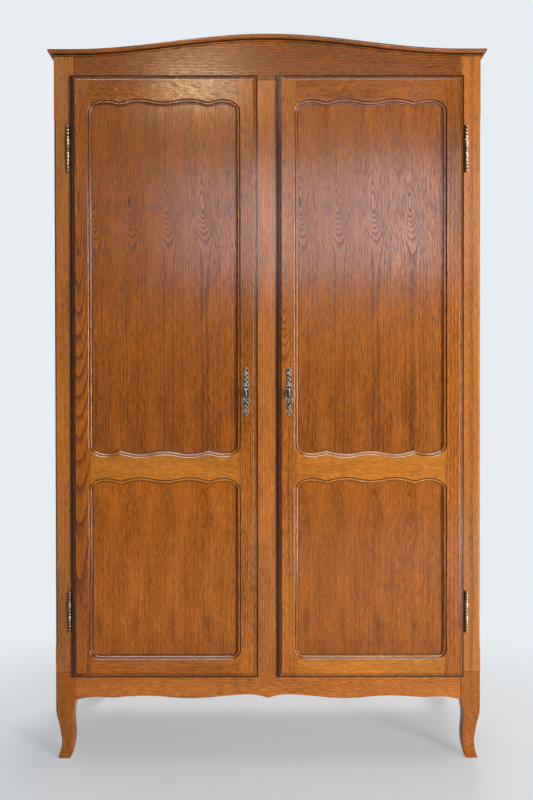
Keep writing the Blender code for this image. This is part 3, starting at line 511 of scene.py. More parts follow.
def lip_painted_shade(tree, place, hollow_shade):
    """Share of painted shade on a door: the painted shade in the hollows, and a brown lip with painted shade that is
    nearly black at its edge and darkest where it faces left, away from the light.
    """
    beside = add(tree, "Math", {"operation": "ABSOLUTE"}, {0: place.outputs[0]})
    beside = add(tree, "Math", {"operation": "ADD"}, {0: beside, 1: DOOR_MIDDLE})
    turned = add(tree, "Math", {"operation": "MULTIPLY"}, {0: beside, 1: place.outputs[0]})
    turned = add(tree, "Math", {"operation": "LESS_THAN"}, {0: turned, 1: 0.0})
    # distances inwards from the door's edges
    beside = add(tree, "Math", {"operation": "ABSOLUTE"}, {0: beside})
    beside = add(tree, "Math", {"operation": "SUBTRACT"}, {0: (MEETING_EDGE - HINGE_EDGE) / 2, 1: beside})
    over = add(tree, "Math", {"operation": "SUBTRACT"}, {0: place.outputs[2], 1: (DOOR_TOP + DOOR_BOTTOM) / 2})
    over = add(tree, "Math", {"operation": "ABSOLUTE"}, {0: over})
    over = add(tree, "Math", {"operation": "SUBTRACT"}, {0: (DOOR_TOP - DOOR_BOTTOM) / 2, 1: over})
    inward = add(tree, "Math", {"operation": "MINIMUM"}, {0: beside, 1: over})
    wall_from, wall_to = LIP_WIDTH - 0.0022, LIP_WIDTH - 0.0018
    lip = add(tree, "MapRange", inputs={0: inward, 1: wall_from, 2: wall_to, 3: 1.0, 4: 0.0})
    before = add(tree, "Math", {"operation": "LESS_THAN"}, {0: place.outputs[1], 1: DOOR_FACE + LIP_THICKNESS + FIT})
    lip = add(tree, "Math", {"operation": "MULTIPLY"}, {0: lip, 1: before})
    upright = add(tree, "Math", {"operation": "LESS_THAN"}, {0: beside, 1: over})
    turned = add(tree, "Math", {"operation": "MULTIPLY"}, {0: turned, 1: upright})
    # painted shade: nearly black at the edge, and browner from 3 to 6 mm inwards, darker there on lips that face left,
    # away from the light
    inner = add(tree, "MapRange", inputs={0: turned, 3: 0.34, 4: 0.72})
    lip_brown_and_shade = add(tree, "MapRange", inputs={0: inward, 1: 0.0030, 2: 0.0062, 3: 0.94, 4: inner})
    return add(tree, "Mix", inputs={0: lip, 2: hollow_shade, 3: lip_brown_and_shade})


def painted_shade_share(tree, painted_shade):
    """Share of painted shade at each place, by its depth behind the front, dark in the hollows."""
    plane, reach, stops = painted_shade
    place = add(tree, "TexCoord", output="Object")
    place = add(tree, "SeparateXYZ", inputs={0: place}).node
    level = add(tree, "MapRange", inputs={0: place.outputs[1], 1: plane, 2: plane + reach})
    ramp = add(tree, "ValToRGB", inputs={0: level}).node
    ramp.color_ramp.elements[1].color = (0.0, 0.0, 0.0, 1.0)
    for stop, share in stops:
        ramp.color_ramp.elements.new(stop).color = (share, share, share, 1.0)
    hollow_shade = ramp.outputs[0]
    return lip_painted_shade(tree, place, hollow_shade) if painted_shade == DOOR_PAINTED_SHADE else hollow_shade


def oak(name, light, mid, dark, along="Z", heart=(1.0, 0.3), dive=(0.0, 0.0, 1.0), ring=0.0055, lean=0.0, leaf=None,
        leaf_start=0.0, eyes=(), smudges=(), flecks=None, figure=1.0, fine=0.45, tones=0.18, painted_shade=None,
        roughness=0.15):
    """European oak under satin lacquer: brown pores in dashes, thick in the early wood of each year ring.

    heart is where the log's middle runs, across and behind the face; dive is how far it swings in depth,
    the height of that swing's middle and its length, which gives the arched figure of a flat-sawn face;
    lean is how far it swings across, and ring the width of a year ring.
    leaf is the width of a veneer leaf, which repeats, and leaf_start the edge of one.
    An eye is a dimple in the rings, where they show more strongly, and a smudge a darker cloud: across, height,
    half width, half height, then the dimple in rings and its strength, or the share of darkness.
    flecks are golden rays: how far they lean from the grain, and their strength.
    figure is the strength of the rings, fine that of the fine dashes, tones that of the broad changes, and one more
    argument gives where painted shade darkens the hollows, on a door or under the cornice's nose.
    """
    material, tree, shader = new_material(name)
    where = add(tree, "TexCoord", output="Object")
    where = add(tree, "Mapping", inputs={"Vector": where, "Rotation": GRAIN[along]})
    if leaf:
        where = in_leaves(tree, where, leaf, leaf_start)
    # the fibres wander by a few millimetres over a hand's breadth
    drift = marks(tree, where, WANDER, 2.0, output="Color")
    drift = add(tree, "VectorMath", {"operation": "MULTIPLY_ADD"}, {0: drift, 1: (0.010, 0.0, 0.0), 2: where})
    rings = year_rings(tree, drift, heart, dive, lean, ring)
    boldness = 0.22 * figure
    for across, height, wide, tall, dip, bold in eyes:
        eye = patch(tree, drift, across, height, wide, tall, 1.0)
        rings = add(tree, "Math", {"operation": "MULTIPLY_ADD"}, {0: eye, 1: -dip, 2: rings})
        boldness = add(tree, "Math", {"operation": "MULTIPLY_ADD"}, {0: eye, 1: bold, 2: boldness})
    rings = add(tree, "Math", {"operation": "FRACT"}, {0: rings})
    early = add(tree, "MapRange", SMOOTH, {0: rings, 1: 0.0, 2: 0.55, 3: 1.0, 4: 0.0})
    # light and mid tones in streaks, then the early wood and the open pores in the dark one
    streak = marks(tree, drift, STREAK, 3.0, roughness=0.6)
    body = add(tree, "MapRange", inputs={0: streak, 1: 0.30, 2: 0.70, 3: 0.15, 4: 0.85})
    colour = add(tree, "Mix", COLOURS, {0: body, 6: linear(mid), 7: linear(light)}, output=2)
    shade = add(tree, "Math", {"operation": "MULTIPLY"}, {0: early, 1: boldness})
    colour = add(tree, "Mix", COLOURS, {0: shade, 6: colour, 7: linear(dark)}, output=2)
    pores = marks(tree, drift, PORE, 2.0, roughness=0.6)
    pores = add(tree, "Math", {"operation": "MULTIPLY_ADD"}, {0: early, 1: 0.14 * figure, 2: pores})
    pores = add(tree, "MapRange", SMOOTH, {0: pores, 1: 0.50, 2: 0.74, 3: 0.0, 4: 1.0})
    shade = add(tree, "Math", {"operation": "MULTIPLY"}, {0: pores, 1: 0.55})
    colour = add(tree, "Mix", COLOURS, {0: shade, 6: colour, 7: linear(dark)}, output=2)
    for across, height, wide, tall, share in smudges:
        cloud = patch(tree, drift, across, height, wide, tall, share)
        colour = add(tree, "Mix", COLOURS, {0: cloud, 6: colour, 7: linear(dark)}, output=2)
    if flecks:
        turn, strength = flecks
        ray = marks(tree, drift, RAY_FLECK, 1.0, lean=turn)
        ray = add(tree, "MapRange", SMOOTH, {0: ray, 1: 0.58, 2: 0.68, 3: 0.0, 4: strength})
        colour = add(tree, "Mix", COLOURS, {0: ray, 6: colour, 7: linear(FLECK_GOLD)}, output=2)
    # painted shade in the hollows, on the door lips and under the cornice's nose
    if painted_shade:
        colour = add(tree, "Mix", COLOURS, {0: painted_shade_share(tree, painted_shade), 6: colour, 7: linear(PAINTED_SHADE_BROWN)}, output=2)
    # broad changes of tone over the board, and fine light and dark dashes
    tone = marks(tree, drift, BROAD_TONE, 3.0, roughness=0.55)
    value = add(tree, "MapRange", inputs={0: tone, 1: 0.28, 2: 0.72, 3: 1.02 - tones, 4: 1.02 + tones})
    dashes = marks(tree, drift, DASH, 1.0)
    dashes = add(tree, "MapRange", inputs={0: dashes, 1: 0.25, 2: 0.75, 3: -fine, 4: fine})
    value = add(tree, "Math", {"operation": "ADD"}, {0: dashes, 1: value})
    colour = add(tree, "HueSaturation", inputs={"Value": value, "Color": colour})
    tree.links.new(colour, shader.inputs["Base Color"])
    # the lacquer sinks into the pores a little, and is duller there
    gloss = add(tree, "MapRange", inputs={0: pores, 3: roughness, 4: roughness + 0.10})
    tree.links.new(gloss, shader.inputs["Roughness"])
    grooves = add(tree, "Math", {"operation": "SUBTRACT"}, {0: 1.0, 1: pores})
    relief = add(tree, "Bump", inputs={"Height": grooves, "Strength": 0.34, "Distance": 0.0002})
    tree.links.new(relief, shader.inputs["Normal"])
    shader.inputs["IOR"].default_value = 1.5
    shader.inputs["Specular IOR Level"].default_value = 0.5
    return material


def old_metal(name, bright, dull, dark, low, high, roughness, axis=None, oxide=0.0):
    """Cast metal with a patina: dark in the hollows near the ground, patina with painted shade, and rubbed bright
    towards the front, wear with painted highlight.

    low and high are the depths, in Y, between which the patina and painted shade give way to the bright; with an
    axis in X and Y, they are the radii round it. oxide is the share of the surface that has turned to dull oxide.
    """
    material, tree, shader = new_material(name)
    where = add(tree, "TexCoord", output="Object")
    depth = add(tree, "SeparateXYZ", inputs={0: where}).node.outputs[1]
    if axis:
        near = add(tree, "VectorMath", {"operation": "ABSOLUTE"}, {0: where})
        near = add(tree, "VectorMath", {"operation": "SUBTRACT"}, {0: near, 1: (abs(axis[0]), abs(axis[1]), 0.0)})
        near = add(tree, "VectorMath", {"operation": "MULTIPLY"}, {0: near, 1: (1.0, 1.0, 0.0)})
        depth = add(tree, "VectorMath", {"operation": "LENGTH"}, {0: near}, output="Value")
    worn_and_lit = add(tree, "MapRange", SMOOTH, {0: depth, 1: low, 2: high, 3: 0.0, 4: 1.0})
    if axis:
        # what stands out beyond the barrel, the leaves, stays dark, painted shade
        inside = add(tree, "Math", {"operation": "LESS_THAN"}, {0: depth, 1: BARREL_REACH})
        worn_and_lit = add(tree, "Math", {"operation": "MULTIPLY"}, {0: worn_and_lit, 1: inside})
    # blotches of about 3 mm
    blotch = add(tree, "TexNoise", inputs={"Vector": where, "Scale": 330.0, "Detail": 3.0, "Roughness": 0.6})
    mottled = add(tree, "MapRange", inputs={0: blotch, 1: 0.35, 2: 0.65, 3: -0.25, 4: 0.25})
    worn_and_lit = add(tree, "Math", {"operation": "ADD", "use_clamp": True}, {0: worn_and_lit, 1: mottled})
    colour = add(tree, "Mix", COLOURS, {0: worn_and_lit, 6: linear(dark), 7: linear(dull)}, output=2)
    # bright where rubbed, partly a painted highlight
    rubbed_and_highlit = add(tree, "MapRange", SMOOTH, {0: worn_and_lit, 1: 0.55, 2: 1.0, 3: 0.0, 4: 1.0})
    colour = add(tree, "Mix", COLOURS, {0: rubbed_and_highlit, 6: colour, 7: linear(bright)}, output=2)
    tree.links.new(colour, shader.inputs["Base Color"])
    rough = add(tree, "MapRange", inputs={0: worn_and_lit, 3: roughness + 0.25, 4: roughness})
    tree.links.new(rough, shader.inputs["Roughness"])
    relief = add(tree, "Bump", inputs={"Height": blotch, "Strength": 0.12, "Distance": 0.0003})
    tree.links.new(relief, shader.inputs["Normal"])
    shader.inputs["Metallic"].default_value = 1.0 - oxide
    return material


# Finishes

# straight brown dashes, a quiet upright grain
upright_oak = oak("solid_oak_rift_sawn_satin_lacquer", "#B2661E", "#944E12", "#3E1A04", heart=(0.9, 0.35),
                  smudges=((0.51, 1.70, 0.09, 0.45, 0.32), (0.51, 0.35, 0.09, 0.45, 0.18)), painted_shade=DOOR_PAINTED_SHADE)
# the same grain, browner half-way up, beside the lock
dark_upright_oak = oak("solid_oak_rift_sawn_darker_board", "#B86C20", "#9A5414", "#381804", heart=(0.8, 0.25),
                       smudges=((-0.05, 1.25, 0.09, 0.62, 0.30), (-0.05, 1.75, 0.09, 0.35, 0.20)), painted_shade=DOOR_PAINTED_SHADE)
# paler and calmer than the doors, so that the upright between them reads
centre_oak = oak("solid_oak_centre_stile_satin_lacquer", "#BE7432", "#A25C22", "#4E260A", heart=(0.9, 0.35),
                 smudges=((0.0, 1.72, 0.09, 0.40, 0.15),), fine=0.22, tones=0.22)
# light honey boards that frame the darker doors
post_oak = oak("solid_oak_posts_satin_lacquer", "#BE7630", "#A05C1A", "#4A240A", heart=(0.7, 0.45),
               smudges=((-0.56, 0.40, 0.09, 0.45, 0.14), (0.56, 0.40, 0.09, 0.45, 0.14)), fine=0.3)
# dashes that run across, so that the joints with the stiles show
across_oak = oak("solid_oak_rails_satin_lacquer", "#B2691E", "#965012", "#4A2206", along="X", heart=(1.2, 0.25),
                 painted_shade=DOOR_PAINTED_SHADE)
# long brown streaks across the top, under a pale glare
frieze_oak = oak("solid_oak_frieze_satin_lacquer", "#9A5820", "#7E4614", "#361604", along="X", heart=(-1.2, 0.5))
# as the frieze, with painted shade drawn as a dark line in the groove under the nose
cornice_oak = oak("solid_oak_cornice_satin_lacquer", "#A45E20", "#884A14", "#361604", along="X", heart=(-1.2, 0.5),
                  painted_shade=CORNICE_PAINTED_SHADE)
# amber wood with golden flecks, lighter than the panels beside it
amber_oak = oak("solid_oak_quarter_sawn_satin_lacquer", "#C07826", "#A66018", "#5C300A", along="X", heart=(2.0, 0.1),
                flecks=(0.7, 0.6), figure=0.5, fine=0.28, painted_shade=DOOR_PAINTED_SHADE)
# leaning flecks that light up in the glare
fleck_oak = oak("solid_oak_quarter_sawn_top_rail", "#9E5A1C", "#864812", "#421E06", along="X", heart=(2.0, 0.1),
                flecks=(0.75, 0.6), figure=0.6, painted_shade=DOOR_PAINTED_SHADE)
# wavy rays that run nearly along the board
right_top_oak = oak("solid_oak_quarter_sawn_wavy_rays", "#A45E1E", "#8C4A12", "#442006", along="X", heart=(2.0, 0.1),
                    flecks=(1.35, 0.3), figure=0.6, painted_shade=DOOR_PAINTED_SHADE)
# grain from front to back, seen on the sides
depth_oak = oak("solid_oak_side_rails_satin_lacquer", "#B2691E", "#965012", "#4A2206", along="Y", heart=(1.2, 0.25))
# deep reddish honey with faint rays, nearly plain, so that the sweep of the leg shows
leg_oak = oak("solid_oak_legs_satin_lacquer", "#A65C12", "#8E4A0A", "#64330C", heart=(0.4, 0.5), flecks=(1.2, 0.3),
              fine=0.25)
# a warm light board with weak figure over the scallops
apron_oak = oak("solid_oak_apron_satin_lacquer", "#BC702A", "#A25A1A", "#5E300A", along="X", heart=(1.3, 0.2),
                figure=0.6)
# long pointed arches that climb the whole board
hinge_stile_oak = oak("solid_oak_flat_sawn_hinge_stile", "#AC621C", "#924C10", "#3A1804",
                      heart=(-0.512, DOOR_FACE - 0.045), dive=(-0.045, 1.03, 0.40), ring=0.0060, figure=1.5,
                      smudges=((-0.51, 0.32, 0.09, 0.38, 0.20),), painted_shade=DOOR_PAINTED_SHADE)
# a tight arched figure beside the lock
meeting_stile_oak = oak("solid_oak_flat_sawn_meeting_stile", "#B46A22", "#9A5616", "#401C06",
                        heart=(0.052, DOOR_FACE - 0.015), dive=(-0.015, 1.180, 0.063), ring=0.0045,
                        eyes=((0.052, 1.190, 0.040, 0.130, 0.0, 0.4),), smudges=((0.05, 1.72, 0.09, 0.40, 0.20),),
                        painted_shade=DOOR_PAINTED_SHADE)

# Figure of the veneer leaves: the heart dives at a nose, with an eye over it and clouds below and beside it
VENEER_LEAF = 0.100
LEFT_LEAVES = -0.4293
RIGHT_LEAVES = 0.040
PANEL_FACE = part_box("left_door_upper_panel")[0].y
NOSE = {
    "leaf": VENEER_LEAF, "heart": (0.058, PANEL_FACE - 0.018), "dive": (-0.013, 1.455, 0.040), "ring": 0.0056,
    "lean": 0.005,
    "eyes": ((0.062, 1.530, 0.040, 0.075, 2.2, 0.40), (0.060, 1.490, 0.045, 0.150, 0.0, 0.50),
             (0.050, 0.690, 0.040, 0.100, 2.0, 0.0)),
    "smudges": ((0.050, 1.740, 1.0, 0.300, 0.12), (0.026, 1.515, 0.024, 0.040, 0.32),
                (0.068, 0.890, 0.020, 0.060, 0.26), (0.064, 1.040, 0.012, 0.100, 0.24),
                (0.070, 0.660, 0.020, 0.060, 0.20), (0.068, 0.375, 0.022, 0.075, 0.48),
                (0.050, 0.270, 1.0, 0.130, 0.22)),
}
UPPER_LEAVES = {**NOSE, "fine": 0.38, "tones": 0.24}
LOWER_LEAVES = {**NOSE, "figure": 0.6, "fine": 0.28, "tones": 0.20}
# leaves of one log side by side: the same noses and clouds come back every 100 mm
left_veneer = oak("oak_veneer_slip_matched_left_door", "#A45E1C", "#8A480E", "#3A1A06", leaf_start=LEFT_LEAVES,
                  **UPPER_LEAVES)
# the leaves' lower ends: warmer, with golden rays that lean
left_lower_veneer = oak("oak_veneer_slip_matched_left_lower", "#AE6218", "#8C480A", "#482208", leaf_start=LEFT_LEAVES,
                        flecks=(-0.42, 0.18), **LOWER_LEAVES)
# the same leaves on the other door, paler in the glare
right_veneer = oak("oak_veneer_slip_matched_right_door", "#A6601E", "#8C4A10", "#3C1C06", leaf_start=RIGHT_LEAVES,
                   **UPPER_LEAVES)
# their lower ends, with the rays leaning the other way
right_lower_veneer = oak("oak_veneer_slip_matched_right_lower", "#A65E18", "#86450C", "#482208",
                         leaf_start=RIGHT_LEAVES, flecks=(0.38, 0.18), **LOWER_LEAVES)
# plain sides with a straight grain
side_veneer = oak("oak_veneer_sides", "#A6601E", "#8E4C10", "#4A2408")
# pale matt wood without the lacquer's gloss
inside_oak = oak("sealed_oak_inside", "#C9A06C", "#B58A57", "#86602F", heart=(0.8, 0.4), roughness=0.5)
# the same pale wood lying across
shelf_oak = oak("sealed_oak_shelf", "#C9A06C", "#B58A57", "#86602F", along="X", heart=(0.8, 0.4), roughness=0.5)

# nearly black in the turned grooves, patina with painted shade, and warm and light on the beads and swellings, wear
# with painted highlights
brass = old_metal("cast_brass_aged", "#9A8C70", "#5E5238", "#080503", 0.0022, 0.0032, 0.33,
                  axis=(HINGE_AXIS, HINGE_AXIS_Y), oxide=0.3)
# a dull golden tube
rail_brass = old_metal("drawn_brass_rail", "#B8A070", "#9A8458", "#5A4A2C", 0.5, -0.5, 0.35)
# grey castings, black in the hollows, patina with painted shade round the keyhole, and silvery on the scrolls, partly
# painted highlight
pewter = old_metal("cast_pewter_antiqued", "#A69F93", "#756E62", "#0E0B08", DOOR_FACE - 0.0004, DOOR_FACE - 0.0032,
                   0.46, oxide=0.5)
# darker and browner than the plate it stands in
key_steel = old_metal("worn_steel_key", "#6A6154", "#4C453A", "#1A1612", DOOR_FACE + 0.01, DOOR_FACE - 0.030,
                      0.45, oxide=0.4)
# plain grey sheet on the backs of the open doors
lock_steel = old_metal("pressed_steel_lock", "#8C8A87", "#6B6966", "#3E3C3A", DOOR_BACK - 0.004, DOOR_BACK + 0.006,
                       0.45, oxide=0.3)


# Doors

# Section of the moulding round the panels, as shares of its width and depth: ovolo, quirk, bead, fillet
MOULDING_SECTION = [
    (0.00, 0.02), (0.05, 0.035), (0.10, 0.084), (0.14, 0.157), (0.17, 0.247), (0.19, 0.35), (0.20, 0.50),
    (0.235, 0.56), (0.275, 0.555), (0.295, 0.46), (0.335, 0.40), (0.39, 0.37), (0.45, 0.36), (0.52, 0.37),
    (0.57, 0.39), (0.60, 0.41), (0.64, 0.427), (0.68, 0.482), (0.712, 0.564), (0.736, 0.665), (0.752, 0.78),
    (0.76, 0.95), (0.82, 0.975), (1.00, 1.00),
]
# Section of the lip from its edge inwards, as steps and rises: a small round, a sloping flat, the wall up to the face,
# and its chamfered arris
LIP_SECTION = [
    (0.0003, 0.0026), (0.0005, 0.0026), (0.0107, 0.0014), (0.0004, 0.0006), (0.0009, 0.00113), (0.0007, 0.00017),
]


def opening_cutter(name, outline):
    """Solid whose wall is the moulding: a face is inset step by step, and pushed in as the section goes."""
    piece = sheet(name, [(x, DOOR_FACE - MARGIN, z) for x, z in outline])
    edit_faces(piece, lambda face: True)
    draw_out(y=MARGIN)
    width, depth = 0.0, 0.0
    for width_share, depth_share in MOULDING_SECTION:
        step = width_share * MOULDING_WIDTH - width
        rise = depth_share * MOULDING_DEPTH - depth
        if step:
            bpy.ops.mesh.inset(thickness=step, depth=rise, use_even_offset=True)
        else:
            draw_out(y=rise)
        width += step
        depth += rise
    draw_out(y=DOOR_BACK - DOOR_FACE + MARGIN - depth)
    close_edit()
    return piece


def door_blank():
    """The whole left door as one block: a moulded lip in front, the rebated body behind."""
    lip_back = DOOR_FACE + LIP_THICKNESS
    piece = block("left_door_blank", (HINGE_EDGE, lip_back - LIP_FLAT, DOOR_BOTTOM),
                  (MEETING_EDGE, lip_back, DOOR_TOP))
    edit_faces(piece, lambda face: face.normal.y < -0.9)
    for step, rise in LIP_SECTION:
        bpy.ops.mesh.inset(thickness=step, depth=rise, use_even_offset=True)
    close_edit()
    edit_faces(piece, lambda face: face.normal.y > 0.9)
    bpy.ops.mesh.inset(thickness=REBATE, use_even_offset=True)
    draw_out(y=DOOR_BACK - lip_back)
    close_edit()
    # the lap is wider at the top and the bottom than at the sides
    for vertex in piece.data.vertices:
        if vertex.co.y > lip_back - TINY and abs(vertex.co.z - DOOR_TOP + REBATE) < NEAR:
            vertex.co.z = DOOR_TOP - TOP_REBATE
        elif vertex.co.y > lip_back - TINY and abs(vertex.co.z - DOOR_BOTTOM - REBATE) < NEAR:
            vertex.co.z = DOOR_BOTTOM + BOTTOM_REBATE
    return piece


def keyhole(name, y_from, y_to):
    """Round hole with a slot for the bit below it, as one solid."""
    bpy.ops.object.select_all(action="DESELECT")
    bpy.ops.mesh.primitive_cylinder_add(vertices=32, radius=SHANK_RADIUS + KEYHOLE_PLAY, depth=y_to - y_from,
                                        location=(KEY_X, (y_from + y_to) / 2, KEY_Z),
                                        rotation=(math.pi / 2, 0.0, 0.0))
    hole = take_over(name)
    slot = block(name + "_slot", (KEY_X - KEYHOLE_SLOT_HALF, y_from, KEY_Z - KEYHOLE_SLOT_DROP),
                 (KEY_X + KEYHOLE_SLOT_HALF, y_to, KEY_Z))
    carve(hole, slot, "UNION")
    return hole


def hinge_leaf(level):
    """Corners of the leaf of a hinge's door half, and of its post half."""
    joint = HINGES[level][0]
    thin = HINGE_LEAF_THICKNESS / 2
    half = HINGE_LEAF_HEIGHT / 2
    door = ((HINGE_AXIS + HINGE_LEAF_START, HINGE_AXIS_Y - thin, joint + HINGE_LEAF_LEVEL - half),
            (HINGE_EDGE + HINGE_LEAF_END, HINGE_AXIS_Y + thin, joint + HINGE_LEAF_LEVEL + half))
    post = ((HINGE_AXIS - thin, HINGE_AXIS_Y + HINGE_LEAF_START, joint - HINGE_LEAF_LEVEL - half),
            (HINGE_AXIS + thin, FRONT + HINGE_LEAF_END, joint - HINGE_LEAF_LEVEL + half))
    return door, post


def grown(low, high):
    """Box with clearance all round."""
    return [c - FIT for c in low], [c + FIT for c in high]


def model_door():
    """Stiles and rails of the left door, each cut from its blank as the solids are, with finer curves."""
    y0, y1 = DOOR_FACE - MARGIN, DOOR_BACK + MARGIN
    wide = STILE_FACE + MOULDING_WIDTH
    frame_pieces = {
        "hinge_stile": block("left_door_hinge_stile_moulded", (HINGE_EDGE - MARGIN, y0, DOOR_BOTTOM - MARGIN),
                             (HINGE_EDGE + wide, y1, DOOR_TOP + MARGIN)),
        "meeting_stile": block("left_door_meeting_stile_moulded", (MEETING_EDGE - wide, y0, DOOR_BOTTOM - MARGIN),
                               (MEETING_EDGE + MARGIN, y1, DOOR_TOP + MARGIN)),
    }
    horn = drop_at_shoulder(scallop()) + RAIL_HORN
    foot = drop_at_shoulder(plain_edge()) + RAIL_HORN
    rails = {
        "top_rail": (UPPER_OPENING[1] - horn, DOOR_TOP + MARGIN),
        "middle_rail": (LOWER_OPENING[1] - horn, UPPER_OPENING[0] + horn),
        "bottom_rail": (DOOR_BOTTOM - MARGIN, LOWER_OPENING[0] + foot),
    }
    stiles = list(frame_pieces.values())
    for name, (low_z, high_z) in rails.items():
        low = (HINGE_EDGE + SHOULDER, y0, low_z)
        high = (MEETING_EDGE - SHOULDER, y1, high_z)
        frame_pieces[name] = block(f"left_door_{name}_moulded", low, high)
        for stile in stiles:
            carve(stile, block("notch", *grown(low, high)))
    whole = door_blank()
    cutters = {
        "upper": opening_cutter("upper_opening", opening_outline(UPPER_OPENING, scallop(), scallop())),
        "lower": opening_cutter("lower_opening", opening_outline(LOWER_OPENING, plain_edge(), scallop())),
    }
    for name, piece in frame_pieces.items():
        carve(piece, whole, "INTERSECT", keep=True)
        for level, cutter in cutters.items():
            if (name, level) in (("top_rail", "lower"), ("bottom_rail", "upper")):
                continue
            carve(piece, cutter, keep=True)
            carve(piece, block("groove", *grown(*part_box(f"left_door_{level}_panel"))))
    for tool in (whole, *cutters.values()):
        bpy.data.objects.remove(tool, do_unlink=True)
    for level in HINGES:
        carve(frame_pieces["hinge_stile"], block("leaf_slot", *grown(*hinge_leaf(level)[0])))
    carve(frame_pieces["meeting_stile"], keyhole("keyhole", DOOR_FACE - MARGIN, DOOR_BACK + MARGIN))
    return frame_pieces


door = model_door()
DOOR_FINISHES = {
    "hinge_stile": (hinge_stile_oak, upright_oak),
    "meeting_stile": (dark_upright_oak, meeting_stile_oak),
    "top_rail": (fleck_oak, right_top_oak),
    "middle_rail": (amber_oak, amber_oak),
    "bottom_rail": (across_oak, amber_oak),
}
for name, piece in door.items():
    copy = mirrored(piece, f"right_door_{name}_moulded")
    left_finish, right_finish = DOOR_FINISHES[name]
    fit(piece, "left_door", left_finish, "lacquered_oak", f"left_door_{name}")
    fit(copy, "right_door", right_finish, "lacquered_oak", f"right_door_{name}")


# Crown

def cornice_profile():
    """(reach, height) loop: a fillet, a groove and a nose, round below and chamfered on top."""
    nose_z, nose_half = 0.0142, 0.0086
    loop = [(0.0, 0.0), (0.0030, 0.0), (0.0036, 0.0006), (0.0036, 0.0034), (0.0030, 0.0040), (0.0022, 0.0050),
            (0.0036, 0.0056)]
    for degrees in range(-81, 1, 9):
        angle = math.radians(degrees)
        loop.append((CORNICE_REACH - CORNICE_NOSE * (1 - math.cos(angle)), nose_z + nose_half * math.sin(angle)))
    loop += [(CORNICE_REACH, 0.0162), (CORNICE_REACH - 0.0017, 0.0172), (CORNICE_REACH - 0.0046, 0.0178),
             (0.0, CORNICE_HEIGHT)]
    return loop


def model_cornice():
    """The front length follows the arch; the side lengths meet it at mitres."""
    bottom = CROWN_TOP - CORNICE_HEIGHT
    profile = cornice_profile()
    piece = sheet("front_cornice_moulded", [(-HALF_WIDTH, FRONT - FIT - reach, bottom + height)
                                            for reach, height in profile])
    edit_faces(piece, lambda face: True)
    stations = [POST_INNER * (i / ARCH_STEPS - 1) for i in range(2 * ARCH_STEPS + 1)]
    stations = [-HALF_WIDTH, *stations, HALF_WIDTH]
    for before, after in zip(stations, stations[1:]):
        draw_out(x=after - before, z=arch(after) - arch(before))
    close_edit()
    for vertex in piece.data.vertices:
        if abs(vertex.co.x) > HALF_WIDTH - TINY:
            vertex.co.x += math.copysign(FRONT - vertex.co.y, vertex.co.x)
    side = sheet("left_cornice_moulded", [(-HALF_WIDTH - FIT - reach, FRONT + FIT - reach, bottom + height)
                                          for reach, height in profile])
    edit_faces(side, lambda face: True)
    pull = 0.1
    draw_out(y=pull)
    close_edit()
    # the pulled end is then cut square at the back
    for vertex in side.data.vertices:
        if vertex.co.y > FRONT + pull / 2:
            vertex.co.y = BACK
    return piece, side


def model_frieze():
    """Board under the arch, grooved for the roof board."""
    half = POST_INNER - FIT
    outline = [(-half, CROWN_JOINT), (half, CROWN_JOINT)]
    for i in range(2 * ARCH_STEPS + 1):
        x = POST_INNER * (1 - i / ARCH_STEPS)
        outline.append((max(-half, min(half, x)), CROWN_TOP + arch(x)))
    piece = thick_sheet("frieze_board_arched", [(x, FRONT, z) for x, z in outline], BOARD_BACK - FRONT)
    carve(piece, block("groove", *grown(*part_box("roof_board"))))
    ease(piece, width=0.0006)
    return piece


front_cornice, left_cornice = model_cornice()
right_cornice = mirrored(left_cornice, "right_cornice_moulded")
fit(front_cornice, "carcass", cornice_oak, "lacquered_oak", "front_cornice")
fit(left_cornice, "carcass", depth_oak, "lacquered_oak", "left_cornice")
fit(right_cornice, "carcass", depth_oak, "lacquered_oak", "right_cornice")
fit(model_frieze(), "carcass", frieze_oak, "lacquered_oak", "frieze_board")


# Base

# Sweep of a leg below its block, as shares of its height and of the post: height, outer face, inner face
LEG_SWEEP = [
    (1.00, 0.000, 1.000), (0.93, 0.000, 0.965), (0.86, 0.000, 0.920), (0.74, 0.020, 0.858), (0.62, 0.092, 0.854),
    (0.50, 0.162, 0.876), (0.37, 0.214, 0.894), (0.27, 0.243, 0.880), (0.19, 0.225, 0.850), (0.10, 0.160, 0.795),
    (0.00, 0.080, 0.700),
]
LEG_HEIGHT = BASE_HEIGHT - LEG_BLOCK
# Lower edge of the apron from its middle, as a share of the half span and a rise over its trough, and the way there
APRON_EDGE = [
    (0.095, 0.0105, swell), (0.405, 0.0, wave), (0.630, 0.0070, wave), (0.805, 0.0020, fall), (0.900, 0.0040, swell),
    (1.000, -0.0050, fall),
]


def model_leg():
    """Cabriole leg: the block's square is drawn down ring by ring, moved and narrowed, then its arrises rounded."""
    bpy.ops.object.select_all(action="DESELECT")
    x, y = -HALF_WIDTH + POST_SIZE / 2, FRONT + POST_SIZE / 2
    bpy.ops.mesh.primitive_plane_add(size=POST_SIZE, location=(x, y, BASE_HEIGHT))
    piece = take_over("left_front_leg_cabriole")
    edit_faces(piece, lambda face: True)
    z, size = BASE_HEIGHT, POST_SIZE
    for share, outer, inner in smooth_through(LEG_SWEEP, steps=4):
        shift = (outer + inner - 1) / 2 * POST_SIZE
        new = Vector((-HALF_WIDTH + POST_SIZE / 2 + shift, FRONT + POST_SIZE / 2 + shift, share * LEG_HEIGHT))
        draw_out(new.x - x, new.y - y, new.z - z)
        scale = (inner - outer) * POST_SIZE / size
        bpy.ops.transform.resize(value=(scale, scale, 1.0), center_override=new)
        x, y, z = new
        size *= scale
    close_edit()
    ease(piece, width=0.0022, segments=3, angle=50)
    return piece


